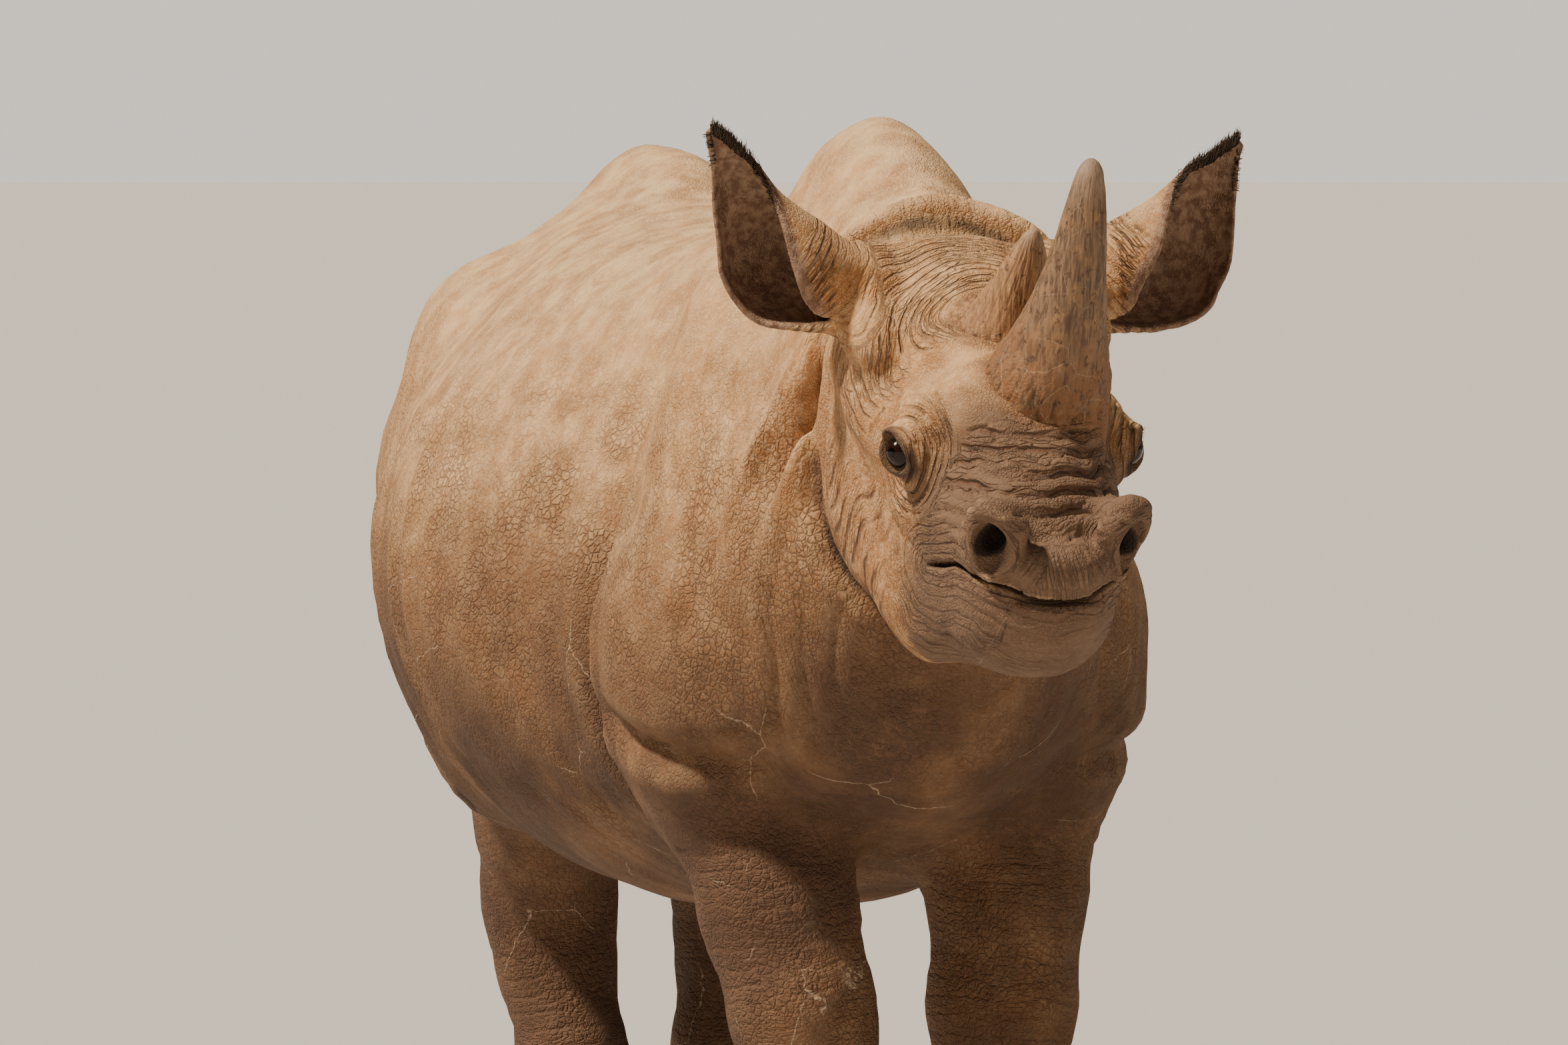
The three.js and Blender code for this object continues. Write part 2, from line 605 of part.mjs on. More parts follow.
// The gap between the lips: a wedge swept round the muzzle, open at the skin and closing inwards.
function mouthGap() {
  const { line, deep, open } = MOUTH;
  const left = line.map((p) => new THREE.Vector3(...p));
  const right = left.slice(0, -1).reverse().map((p) => new THREE.Vector3(p.x, -p.y, p.z));
  const curve = new THREE.CatmullRomCurve3([...left, ...right]);
  const rings = [...Array(29).keys()].map((i) => {
    const [p, t] = [curve.getPoint(i / 28), curve.getTangent(i / 28)];
    const outwards = new THREE.Vector3(t.y, -t.x, 0).normalize();
    const height = open * Math.min(1, 0.25 + 4 * Math.min(i, 28 - i) / 28);
    return [[16, height], [16, -height], [-deep, -0.8], [-deep, 0.8]].map(([out, up]) =>
      p.clone().addScaledVector(outwards.clone().multiplyScalar(-1), -out).setZ(p.z + up * 0.5).toArray(),
    );
  });
  return solidOf(loft(rings));
}

// A hoof: a rounded block at the edge of a foot, cut flat on the ground.
function hoof([x, y], [turn, wide, high], forward, more = 0) {
  const { foot, thick } = HOOVES;
  const shape = new THREE.SphereGeometry(1, 12, 7).scale(thick + more, wide + more, high + more);
  const placed = new THREE.Matrix4().makeRotationZ(radians(turn));
  const [ahead, across] = [foot * Math.cos(radians(turn)), foot * Math.sin(radians(turn))];
  placed.setPosition(x + forward + ahead, y + across, high * 0.3);
  return solidOf(shape, placed).trimByPlane([0, 0, 1], -more);
}

// A lock of hair: a flat blade from its root to its tip.
function lock(from, to, wide, thick) {
  const long = to.distanceTo(from);
  const blade = new THREE.ConeGeometry(1, long, 5).translate(0, long / 2, 0).scale(thick, 1, wide);
  const [up, way] = [new THREE.Vector3(0, 1, 0), to.clone().sub(from).normalize()];
  const turned = new THREE.Quaternion().setFromUnitVectors(up, way);
  return solidOf(blade, new THREE.Matrix4().makeRotationFromQuaternion(turned).setPosition(from));
}

// The tail's round rod along its spine, with its root end let into the rump.
function tailRod(more = 0, around = 10) {
  const spine = new THREE.CatmullRomCurve3(TAIL.map(([x, y, z]) => new THREE.Vector3(x, y, z)));
  const rows = 16;
  const at = along(TAIL.map((p, i) => [i / (TAIL.length - 1), p[3]]));
  const rings = [...Array(rows + 1).keys()].map((row) => {
    const t = row / rows;
    const [p, d] = [spine.getPoint(t), spine.getTangent(t)];
    const side = new THREE.Vector3(0, 1, 0).addScaledVector(d, -d.y).normalize();
    const back = new THREE.Vector3().crossVectors(d, side);
    if (row === 0) p.addScaledVector(d, -more);
    const radius = at(t)[1] + more;
    return [...Array(around).keys()].map((n) => {
      const angle = (2 * Math.PI * n) / around;
      const sideways = p.clone().addScaledVector(side, radius * Math.cos(angle));
      return sideways.addScaledVector(back, radius * Math.sin(angle)).toArray();
    });
  });
  return solidOf(loft(rings));
}

function tail() {
  const { locks, long, wide, thick } = BRUSH;
  const [x, y, z] = TAIL.at(-1);
  let made = tailRod();
  for (let n = 0; n < locks; n++) {
    const angle = (2 * Math.PI * n) / locks;
    const [across, ahead] = [Math.cos(angle), Math.sin(angle)];
    const root = new THREE.Vector3(x + 5 * across, y + 5 * ahead, z + 55 - 8 * (n % 2));
    const tip = new THREE.Vector3(x + 26 * across, y + 22 * ahead, z - long + 24 * (n % 3));
    made = made.add(lock(root, tip, wide, thick));
  }
  return biggest(made);
}

// ---------------------------------------------------------------- assembly

const skin = new THREE.MeshStandardMaterial({ name: "hide", color: 0xa27a58, roughness: 0.9, metalness: 0 });
const horn = new THREE.MeshStandardMaterial({ name: "horn", color: 0x8f7358, roughness: 0.6, metalness: 0 });
const eye = new THREE.MeshStandardMaterial({ name: "eye", color: 0x1c120c, roughness: 0.1, metalness: 0 });
const nail = new THREE.MeshStandardMaterial({ name: "nail", color: 0x5d5046, roughness: 0.6, metalness: 0 });

const rhinoceros = new THREE.Group();
rhinoceros.position.x = AHEAD;
const head = new THREE.Group();
head.applyMatrix4(headFrame);
rhinoceros.add(head);

function put(group, name, made, material) {
  const mesh = new THREE.Mesh(made instanceof THREE.BufferGeometry ? made : geometryOf(made), material);
  mesh.name = name;
  group.add(mesh);
}

const CELL = { torso: 65, neck: 46, head: 23, leg: 36 }; // lattice spacing
const SMOOTH = { torso: 10, neck: 7, head: 2.8, leg: 5 }; // how far thinning the mesh may move it
const NECK_FROM = { at: [720, 0, 1100], facing: [0.92, 0, 0.39] }; // the cut between torso and neck
const HEAD_FROM = { at: [920, 0, 1440], facing: [0.978, 0, -0.207] }; // the cut between neck and head
// The cut over each left leg: it rises along the underside of the trunk.
const LEG_FROM = {
  fore: { at: [420, 60, 585], facing: [-0.33, -0.42, 1] },
  hind: { at: [-1000, 60, 570], facing: [0.28, -0.42, 1] },
};
const MIDDLE = -250; // between the fore legs and the hind legs

// A cut as its unit normal and its distance from the origin, moved by shift and carried into another frame.
function plane({ at, facing }, shift = 0, frame = new THREE.Matrix4()) {
  const p = new THREE.Vector3(...at).applyMatrix4(frame);
  const n = new THREE.Vector3(...facing).transformDirection(frame);
  return [n.toArray(), p.dot(n) + shift];
}

function otherSide([normal, offset]) {
  return [normal.map((c) => -c), -offset];
}

function legCut(kind, sign) {
  const { at: [x, y, z], facing: [nx, ny, nz] } = LEG_FROM[kind];
  return { at: [x, sign * y, z], facing: [nx, sign * ny, nz] };
}

for (const { name, joints } of LEGS) {
  const [kind, side] = name.split("_");
  const sign = side === "left" ? 1 : -1;
  const [xs, ys] = [joints.map((j) => j[0]), joints.map((j) => j[1])];
  const low = [Math.min(...xs) - 210, Math.min(...ys) - 190, -30];
  const high = [Math.max(...xs) + 210, Math.max(...ys) + 190, 860];
  let made = meshOf(legFlesh(name), low, high, CELL.leg, SMOOTH.leg)
    .trimByPlane([0, 0, 1], 0)
    .trimByPlane(...otherSide(plane(legCut(kind, sign), -GAP)));
  const [footX, footY] = joints.at(-1);
  const foot = [footX, footY + sway(footX)];
  HOOVES.toes.forEach((toe, i) => {
    made = made.subtract(hoof(foot, toe, 0, GAP));
    put(rhinoceros, `hoof_${name}_${i + 1}`, hoof(foot, toe, 0), nail);
  });
  put(rhinoceros, "leg_" + name, biggest(made), skin);
}

let torso = meshOf(flesh, [-1500, -560, 380], [1000, 560, 1700], CELL.torso, SMOOTH.torso)
  .trimByPlane(...otherSide(plane(NECK_FROM, -GAP)));
for (const { name } of LEGS) {
  const sign = name.endsWith("left") ? 1 : -1;
  const kind = name.split("_")[0];
  const middle = MIDDLE + (kind === "fore" ? 700 : -700);
  const quarter = new THREE.Matrix4().makeTranslation(middle, sign * 350, 400);
  const below = otherSide(plane(legCut(kind, sign)));
  torso = torso.subtract(boxAt([1400, 700, 1000], quarter).trimByPlane(...below));
}
put(rhinoceros, "torso", biggest(torso.subtract(tailRod(GAP))), skin);
put(rhinoceros, "tail", tail(), skin);

const neck = meshOf(flesh, [500, -420, 600], [1230, 420, 1700], CELL.neck, SMOOTH.neck)
  .trimByPlane(...plane(NECK_FROM))
  .trimByPlane(...otherSide(plane(HEAD_FROM, -GAP)));
put(rhinoceros, "neck", biggest(neck), skin);

let face = meshOf(fleshInHead, [-260, -280, -680], [690, 280, 200], CELL.head, SMOOTH.head)
  .trimByPlane(...plane(HEAD_FROM, 0, toHead))
  .trimByPlane(...plane(NECK_FROM, 0, toHead));
for (const [side, sign] of SIDES) {
  face = face.subtract(earCutter(side)).add(eyelids(sign)).add(nostrilRim(sign));
  face = face.subtract(eyeball(sign, GAP)).subtract(nostrilHollow(sign));
}
for (const shape of [FRONT_HORN, REAR_HORN]) face = face.subtract(solidOf(hornShape(shape, GAP)));
put(head, "head", biggest(face.subtract(mouthGap())), skin);

put(head, "horn_front", hornShape(FRONT_HORN), horn);
put(head, "horn_rear", hornShape(REAR_HORN), horn);
for (const [side, sign] of SIDES) {
  put(head, "ear_" + side, ear(side), skin);
  put(head, "eye_" + side, eyeball(sign), eye);
}

export default rhinoceros;
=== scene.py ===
import math

import bpy
import numpy as np
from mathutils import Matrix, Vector


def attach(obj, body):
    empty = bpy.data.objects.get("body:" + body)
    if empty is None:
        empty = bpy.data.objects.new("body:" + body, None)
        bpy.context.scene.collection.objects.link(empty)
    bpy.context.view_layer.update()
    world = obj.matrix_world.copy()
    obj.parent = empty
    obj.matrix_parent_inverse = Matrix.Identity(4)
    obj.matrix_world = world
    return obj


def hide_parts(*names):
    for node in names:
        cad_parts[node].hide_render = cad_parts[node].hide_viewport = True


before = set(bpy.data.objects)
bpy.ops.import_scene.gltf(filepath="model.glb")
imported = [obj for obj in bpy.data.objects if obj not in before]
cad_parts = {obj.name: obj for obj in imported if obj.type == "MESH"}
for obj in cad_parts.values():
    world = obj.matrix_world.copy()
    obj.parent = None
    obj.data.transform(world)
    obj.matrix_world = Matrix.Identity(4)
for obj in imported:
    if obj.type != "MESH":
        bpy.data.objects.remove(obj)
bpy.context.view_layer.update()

# A standing black rhinoceros. Shapes are worked out in millimetres in the animal's own frame, x ahead, y to
# its left and z up, and put into meshes in metres, moved ahead by AHEAD to the frame's middle.

AHEAD = 10
MM = 0.001
rng = np.random.default_rng(7)

# ---------------------------------------------------------------- sizes of the flesh, as the solids have them

# Trunk and neck: x, top z, widest level z, bottom z, half-width, sharpness above, sharpness below.
TRUNK = np.array([
    (-1440, 1325, 1090, 800, 280, 1.8, 2.1),
    (-1230, 1435, 1080, 690, 345, 1.65, 2.1),
    (-1020, 1520, 1065, 620, 388, 1.55, 2.1),
    (-840, 1520, 1040, 570, 430, 1.6, 2.1),
    (-580, 1490, 1000, 535, 476, 1.75, 2.05),
    (-300, 1468, 970, 515, 495, 1.8, 2.0),
    (-80, 1475, 950, 522, 458, 1.65, 2.1),
    (120, 1510, 920, 550, 388, 1.45, 2.2),
    (280, 1560, 900, 580, 345, 1.35, 2.2),
    (420, 1590, 930, 620, 335, 1.35, 2.2),
    (600, 1572, 980, 690, 300, 1.42, 2.2),
    (750, 1530, 1050, 765, 248, 1.65, 2.1),
    (870, 1495, 1120, 850, 190, 1.9, 2.0),
    (980, 1460, 1190, 975, 145, 2.0, 2.0),
    (1070, 1430, 1240, 1090, 122, 2.0, 2.0),
], float)
RUMP_CAP, NECK_CAP = (-1270, -1462), (1040, 1150)
SWAY = (450, 420, 22)  # where, over what length and how far the shoulders stand to the left

# The head in its own frame, u down the face, v left, w out of the forehead: the same columns.
HEAD = np.array([
    (-160, 30, -110, -270, 104, 2.2, 2.2),
    (-60, 48, -118, -335, 134, 2.4, 2.4),
    (40, 70, -122, -374, 151, 2.4, 2.7),
    (120, 74, -126, -390, 155, 2.3, 2.8),
    (200, 66, -124, -388, 151, 2.3, 2.9),
    (280, 58, -112, -368, 144, 2.3, 3.0),
    (360, 56, -98, -338, 134, 2.3, 2.9),
    (430, 52, -92, -308, 123, 2.2, 2.7),
    (500, 34, -92, -272, 111, 2.1, 2.5),
    (560, -8, -100, -236, 98, 2.1, 2.4),
    (610, -56, -116, -200, 76, 2.1, 2.2),
], float)
POLL_CAP, NOSE_CAP = (-60, -170), (560, 640)
HEAD_AT, HEAD_DOWN, HEAD_TURN = (985, 0, 1409), 30, 3
CREASE = (30, 24)  # depth and width of the crease in the neck where the head leaves it

# Rounded masses: x, y of the left one or 0, z, three radii, lean in degrees, blend.
BODY_MASSES = (
    (430, 0, 1480, 240, 85, 122, 0, 80),  # hump over the shoulders
    (-950, 0, 1470, 270, 70, 88, 0, 70),  # ridge of the sacrum
    (440, 178, 1110, 175, 112, 330, 12, 90),  # shoulder blade
    (455, 225, 885, 180, 118, 190, 0, 80),  # upper arm
    (650, 0, 890, 170, 175, 165, 0, 110),  # brisket
    (-880, 268, 1275, 140, 80, 95, -20, 110),  # point of the hip
    (-1030, 203, 1000, 265, 138, 310, 12, 120),  # thigh
    (-1290, 145, 1110, 140, 135, 220, 0, 100),  # buttock
    (-650, 270, 745, 165, 88, 116, 24, 90),  # fold of the flank
    (-1400, 0, 1290, 70, 70, 62, 0, 70),  # root of the tail
    (884, 0, 1404, 54, 152, 124, -16, 50),  # roll of skin behind the poll
)
HEAD_MASSES = (
    (170, 134, -80, 120, 36, 42, 4, 30),  # cheekbone
    (120, 90, -240, 130, 58, 116, 0, 40),  # chewing muscle
    (310, 82, -258, 130, 50, 76, -6, 36),  # corner of the jaw
    (96, 140, 4, 92, 40, 46, 0, 30),  # temple
    (318, 116, 0, 50, 30, 27, 0, 24),  # brow
    (348, 128, -36, 46, 30, 38, 0, 22),  # round of the eye
    (352, 22, 34, 100, 90, 46, 0, 30),  # boss of the front horn
    (214, 12, 36, 88, 80, 34, 0, 30),  # boss of the rear horn
    (548, 76, -40, 52, 36, 50, 10, 20),  # wing of the nostril
    (600, 0, -52, 42, 62, 34, 30, 22),  # tip of the upper lip
    (520, 0, -176, 96, 84, 64, 10, 30),  # chin
    (24, 128, 14, 58, 50, 52, 0, 36),  # root of the ear
)

# Legs on the left: flatness, blend, joints x, y, z, radius; then how far each foot stands ahead and inward.
FORELEG = (1.08, 70, ((400, 226, 930, 132), (398, 205, 740, 124), (436, 192, 570, 106), (452, 186, 430, 99),
                      (458, 183, 290, 85), (462, 183, 140, 93), (474, 184, 40, 105)))
HINDLEG = (1.1, 80, ((-930, 200, 900, 155), (-872, 190, 740, 134), (-990, 190, 600, 114),
                     (-1100, 192, 470, 102), (-1108, 192, 380, 88), (-1085, 191, 240, 84),
                     (-1074, 191, 120, 92), (-1054, 192, 40, 102)))
STANCE = {"fore_left": (-40, 20), "fore_right": (150, 90), "hind_left": (-70, 50), "hind_right": (110, 75)}

# Deep folds: a point on each, the direction across it, half-width, depth, and the reach it fades out over.
FOLDS = (
    ((930, 0, 1475), (0.96, 0, 0.28), 22, 30, 230),  # behind the poll
    ((880, 0, 1290), (0.89, 0, -0.46), 22, 40, 340),  # behind the jaw
    ((800, 0, 1150), (0.93, 0, -0.36), 22, 22, 400),  # base of the neck
    ((660, 0, 1000), (0.8, 0, -0.6), 22, 14, 420),
    ((262, 300, 900), (0.97, 0, 0.22), 24, 34, 420),  # behind the shoulder
    ((480, 250, 806), (0.25, 0.2, 0.95), 22, 22, 250),  # over the elbow
    ((-760, 380, 860), (0.86, 0, 0.5), 26, 26, 330),  # in front of the thigh
)

# Ears in the head frame: root, tips, which way the cups open, how much wider each is, outwards, and turned,
# and sections of the leaf: share of length, middle's shift outwards, radius, degrees from its back to its
# inner rim and to its outer rim.
EAR_ROOT, EAR_OPENS = (26, 134, 10), (0.95, 0.16, 0.26)
EAR_TIPS = {"left": (-26, 362, 196), "right": (-26, 346, 214)}
EAR_SPREAD, EAR_TURN = {"left": 1.34, "right": 1.1}, {"left": 22, "right": 0}
EAR_SECTIONS = np.array([
    (0.0, 10, 52, 178, 170), (0.12, 30, 63, 190, 122), (0.24, 46, 73, 180, 98), (0.36, 47, 70, 168, 90),
    (0.48, 45, 60, 150, 84), (0.6, 36, 46, 124, 74), (0.72, 24, 37, 88, 62), (0.84, 9, 27, 44, 48),
    (0.93, 3, 17, 36, 38), (1.0, 0, 6, 30, 30),
], float)

# Where the left eye and nostril sit in the head frame, and the way each faces.
EYE, EYE_RADIUS = ((350, 145, -34), (0.5, 0.82, 0.24)), 24
NOSTRIL = ((584, 89, -26), (0.82, 0.56, 0.08))

# The x ahead of which head and face are worked out, and the x behind which the tail is.
HEAD_FROM, FACE_FROM, TAIL_TO = 640, 1150, -1300
CONE_BLEND, HEAD_BLEND, EAR_BLEND, TAIL_BLEND, SOLE_BLEND = 40, 12, 14, 40, 12
ROOT_WALL = 15  # thickness of an ear at its root

# ---------------------------------------------------------------- fields: distance in mm, negative inside


def smooth_min(a, b, k):
    """The smaller of a and b less h^2 k / 4, where h falls from 1 at a = b to 0 where they are k apart."""
    h = np.maximum(k - np.abs(a - b), 0) / k
    return np.minimum(a, b) - h * h * k / 4


def smooth_max(a, b, k):
    """The larger of a and b, rounded over k."""
    return -smooth_min(-a, -b, k)


def through(rows, x):
    """A Hermite cubic through rows of numbers whose first column is x, with chord slopes, at each of x."""
    at, last = rows[:, 0], len(rows) - 1
    around = np.arange(last + 1)
    before, after = rows[np.maximum(around - 1, 0)], rows[np.minimum(around + 1, last)]
    slope = (after - before) / (after[:, :1] - before[:, :1])
    i = np.clip(np.searchsorted(at, x) - 1, 0, last - 1)
    span = (at[i + 1] - at[i])[:, None]
    t = np.clip((x - at[i])[:, None] / span, 0, 1)
    from_left = (1 + 2 * t) * (1 - t) ** 2 * rows[i] + t * (1 - t) ** 2 * span * slope[i]
    from_right = t * t * (3 - 2 * t) * rows[i + 1] + t * t * (t - 1) * span * slope[i + 1]
    return from_left + from_right


def round_off(x, cap):
    """The share of its section left at x: (1 - t^2.3)^(1/2.3), with t from 0 to 1 over the cap."""
    t = np.clip((x - cap[0]) / (cap[1] - cap[0]), 0, 1)
    return (1 - t**2.3) ** (1 / 2.3)


def strung(rows, front, back, p):
    """First-order distance from ovals |y/wide|^n + |z/high|^n = 1 strung along x, both ends rounded off."""
    x, y, z = p
    inside = np.clip(x, min(front[1], back[1]), max(front[1], back[1]))
    _, top, level, bottom, wide, sharp_up, sharp_down = through(rows, inside).T
    size = np.maximum(round_off(inside, front) * round_off(inside, back), 0.02)
    rise = z - level
    high = np.where(rise > 0, top - level, level - bottom) * size
    n = np.where(rise > 0, sharp_up, sharp_down)
    wide = wide * size
    a, b = np.abs(y) / wide, np.abs(rise) / high
    q = np.maximum((a**n + b**n) ** (1 / n), 1e-3)
    slope = np.hypot(a ** (n - 1) / wide, b ** (n - 1) / high) * q ** (1 - n)
    d = (q - 1) / np.maximum(slope, 1e-4)
    past = np.abs(x - inside)
    return np.where(past > 0, np.hypot(np.maximum(d, 0), past), d)


def ellipsoid(x, y, z, rx, ry, rz, lean):
    """k0 (k0 - 1) / k1, with k0 the point's length in radii and k1 in squared radii; leans about y."""
    c, s = math.cos(math.radians(lean)), math.sin(math.radians(lean))
    px, pz = x * c + z * s, z * c - x * s
    k0 = np.sqrt((px / rx) ** 2 + (y / ry) ** 2 + (pz / rz) ** 2)
    k1 = np.sqrt((px / rx**2) ** 2 + (y / ry**2) ** 2 + (pz / rz**2) ** 2)
    return k0 * (k0 - 1) / np.maximum(k1, 1e-9)


def with_masses(d, masses, p):
    """d blended with each rounded mass, on both sides where it stands off the midline."""
    for x, y, z, rx, ry, rz, lean, k in masses:
        side = np.abs(p[1]) - y if y > 0 else p[1]
        d = smooth_min(d, ellipsoid(p[0] - x, side, p[2] - z, rx, ry, rz, lean), k)
    return d


def sway(x):
    """How far the body stands to the left at x: a bell about the shoulders."""
    at, reach, by = SWAY
    return by * np.exp(-(((x - at) / reach) ** 2))


def stood(leg, foot, side):
    """A leg's joints on its side, moved forward and inward by a share that grows from z = 900 to z = 200."""
    joints = np.array(leg[2], float)
    share = np.clip((900 - joints[:, 2]) / 700, 0, 1)
    joints[:, 0] += foot[0] * share
    joints[:, 1] = side * (joints[:, 1] - foot[1] * share)
    return joints


LEGS = {
    name: (leg := FORELEG if "fore" in name else HINDLEG, stood(leg, foot, 1 if "left" in name else -1))
    for name, foot in STANCE.items()
}


def limb(joints, flat, p):
    """Distance from round cones between joints, squeezed across by flat."""
    d = None
    for a, b in zip(joints[:-1], joints[1:]):
        run, away = b[:3] - a[:3], p - a[:3, None]
        t = np.clip((run @ away) / (run @ run), 0, 1)
        off = away - run[:, None] * t
        cone = np.sqrt(off[0] ** 2 + (off[1] * flat) ** 2 + off[2] ** 2) - (a[3] + (b[3] - a[3]) * t)
        d = cone if d is None else smooth_min(d, cone, CONE_BLEND)
    return d


def fold_place(fold, p):
    """How many half-widths across from a deep fold each point is, and the squared share of its reach."""
    at, across, half, _, reach = fold
    away = np.array([p[0] - at[0], np.abs(p[1]) - at[1] if at[1] > 0 else p[1], p[2] - at[2]])
    return (np.array(across) @ away) / half, np.clip((away**2).sum(0) / reach**2, 0, 1)


def folded(p):
    """How far the deep folds push the surface in: a bell across each one with a roll on both sides of it."""
    push = np.zeros_like(p[0])
    for fold in FOLDS:
        t, off = fold_place(fold, p)
        push += fold[3] * (1 - off) ** 2 * (np.exp(-t * t) - 0.45 * np.exp(-((np.abs(t) - 2.2) ** 2) / 1.6))
    return push


def turned(down, turn):
    """Columns are the head's u, v and w axes: pitched down about y, then turned about z."""
    d, t = math.radians(down), math.radians(turn)
    pitch = np.array([[math.cos(d), 0, math.sin(d)], [0, 1, 0], [-math.sin(d), 0, math.cos(d)]])
    yaw = np.array([[math.cos(t), -math.sin(t), 0], [math.sin(t), math.cos(t), 0], [0, 0, 1]])
    return yaw @ pitch


HEAD_AXES = turned(HEAD_DOWN, HEAD_TURN)


def into_head(p):
    """Points of the animal's frame, in the head's."""
    return HEAD_AXES.T @ (p - np.array(HEAD_AT, float)[:, None])


def out_of_head(q):
    """Points of the head's frame, in the animal's."""
    return HEAD_AXES @ q + np.array(HEAD_AT, float)[:, None]


def body_field(p):
    """Trunk, neck and legs, with their masses, swayed to the left about the shoulders."""
    p = np.array([p[0], p[1] - sway(p[0]), p[2]])
    d = with_masses(strung(TRUNK, NECK_CAP, RUMP_CAP, p), BODY_MASSES, p)
    for (flat, k, _), joints in LEGS.values():
        d = smooth_min(d, limb(joints, flat, p), k)
    return d


def unit(v):
    v = np.asarray(v, float)
    return v / np.linalg.norm(v)


def unit_all(v):
    return v / np.maximum(np.linalg.norm(v, axis=0), 1e-9)


def ear_frame(side):
    """Root, length and axes of an ear in the head frame: a to the tip, o the way it opens, s outwards."""
    mirror = np.array([1, 1 if side == "left" else -1, 1])
    root, tip = np.array(EAR_ROOT, float) * mirror, np.array(EAR_TIPS[side], float) * mirror
    a = unit(tip - root)
    o = np.array(EAR_OPENS) * mirror
    o = unit(o - a * (o @ a))
    return root, np.linalg.norm(tip - root), a, o, np.cross(a, o) * mirror[1]


def ear_section(side, share):
    """Shift outwards, radius, and angles in radians to the inner and outer rim, at a share of the length."""
    _, shift, radius, inner, outer = through(EAR_SECTIONS, share).T
    by = EAR_TURN[side] * np.clip(share * 5 - 0.5, 0, 1)
    spread = 1 + (EAR_SPREAD[side] - 1) * np.clip(share * 4 - 1, 0, 1)
    if side == "left":
        spread = spread + 0.26 * window(share, 0.66, 0.84, 0.16)
    wide = radius * spread
    return shift + 0.8 * (wide - radius), wide, np.radians(inner - by), np.radians(outer + by)


def ear_place(q, side):
    """Where q is in an ear's section: share of length, held share, radius, half the arc's angle, and its
    place along and across the line from the arc's hub to its middle."""
    root, length, a, o, s = ear_frame(side)
    away = q - root[:, None]
    share = (a @ away) / length
    inside = np.clip(share, 0, 1)
    shift, radius, inner, outer = ear_section(side, inside)
    middle, half = (outer - inner) / 2, (outer + inner) / 2
    back, out = 0.3 * radius - o @ away, s @ away - shift
    along = back * np.cos(middle) + out * np.sin(middle)
    across = np.abs(out * np.cos(middle) - back * np.sin(middle))
    return share, inside, radius, half, along, across


def ear_field(q, side, wall):
    """Distance from the rolled leaf: in each section an arc of wall about the ear's back, open ahead."""
    share, inside, radius, half, along, across = ear_place(q, side)
    arc = np.where(np.arctan2(across, along) < half, np.abs(np.hypot(along, across) - radius),
                   np.hypot(along - radius * np.cos(half), across - radius * np.sin(half)))
    return np.hypot(arc, (share - inside) * ear_frame(side)[1]) - wall / 2


def ear_wall(q, side, thin):
    """Thickness of the ear's wall: thick at the root, thin towards the rim."""
    root, length, a, _, _ = ear_frame(side)
    share = np.clip((a @ (q - root[:, None])) / length, 0, 1)
    return ROOT_WALL + (thin - ROOT_WALL) * np.clip(share * 2.2, 0, 1)


def head_and_neck(q, body):
    """Distances from the head, and from the body with the crease pushed into it where the head leaves it."""
    head = with_masses(strung(HEAD, NOSE_CAP, POLL_CAP, q), HEAD_MASSES, q)
    return head, body + CREASE[0] * np.exp(-((np.maximum(head, 0) / CREASE[1]) ** 2))


def flesh(p, ear_rim):
    """The whole skin: body, head and ears blended into one another, with the deep folds pushed in."""
    d = body_field(p)
    near = np.nonzero(p[0] > HEAD_FROM)[0]
    if len(near):
        q = into_head(p[:, near])
        head, neck = head_and_neck(q, d[near])
        joined = smooth_min(neck, head, HEAD_BLEND)
        for side in EAR_TIPS:
            joined = smooth_min(joined, ear_field(q, side, ear_wall(q, side, ear_rim)), EAR_BLEND)
        d[near] = joined
    return d + folded(p)


# ---------------------------------------------------------------- the skin's mesh

# Cell size of the lattice by x: fine on face and tail, coarse on the barrel; and the middle of its height.
CELLS = np.array([(-1640, 10), (-1440, 10), (-1300, 17.5), (-1150, 21), (100, 21), (450, 17.5), (700, 13),
                  (870, 9.4), (1150, 7.35), (1700, 7.25)], float)
MIDDLES = np.array([(-1640, 900), (-1440, 900), (-1250, 800), (740, 800), (880, 1160), (1700, 1160)], float)
FACE_CELL = 7.2  # the size on the face that hollows are evened out to
LATTICE = (128, 160)  # how many cells wide and high
REAR, FRONT = -1600, 1620
BLOCK, FAR = 8, 1.35  # cells to a side of the blocks that are looked at first, and how many sides off is far


def lattice():
    """Stations of x, each one cell of its own size beyond the last, and that size at each."""
    stations = [REAR]
    while stations[-1] < FRONT:
        stations.append(stations[-1] + np.interp(stations[-1], *CELLS.T))
    stations = np.array(stations)
    return stations, np.interp(stations, *CELLS.T)


STATIONS, SIZES = lattice()


def placed(ijk):
    """Lattice places in mm: x by station, y and z in cells of that station's size about the middle."""
    i = ijk[:, 0]
    x = np.interp(i, np.arange(len(STATIONS)), STATIONS)
    size = np.interp(i, np.arange(len(STATIONS)), SIZES)
    y = (ijk[:, 1] - LATTICE[0] / 2) * size
    return np.array([x, y, np.interp(x, *MIDDLES.T) + (ijk[:, 2] - LATTICE[1] / 2) * size])


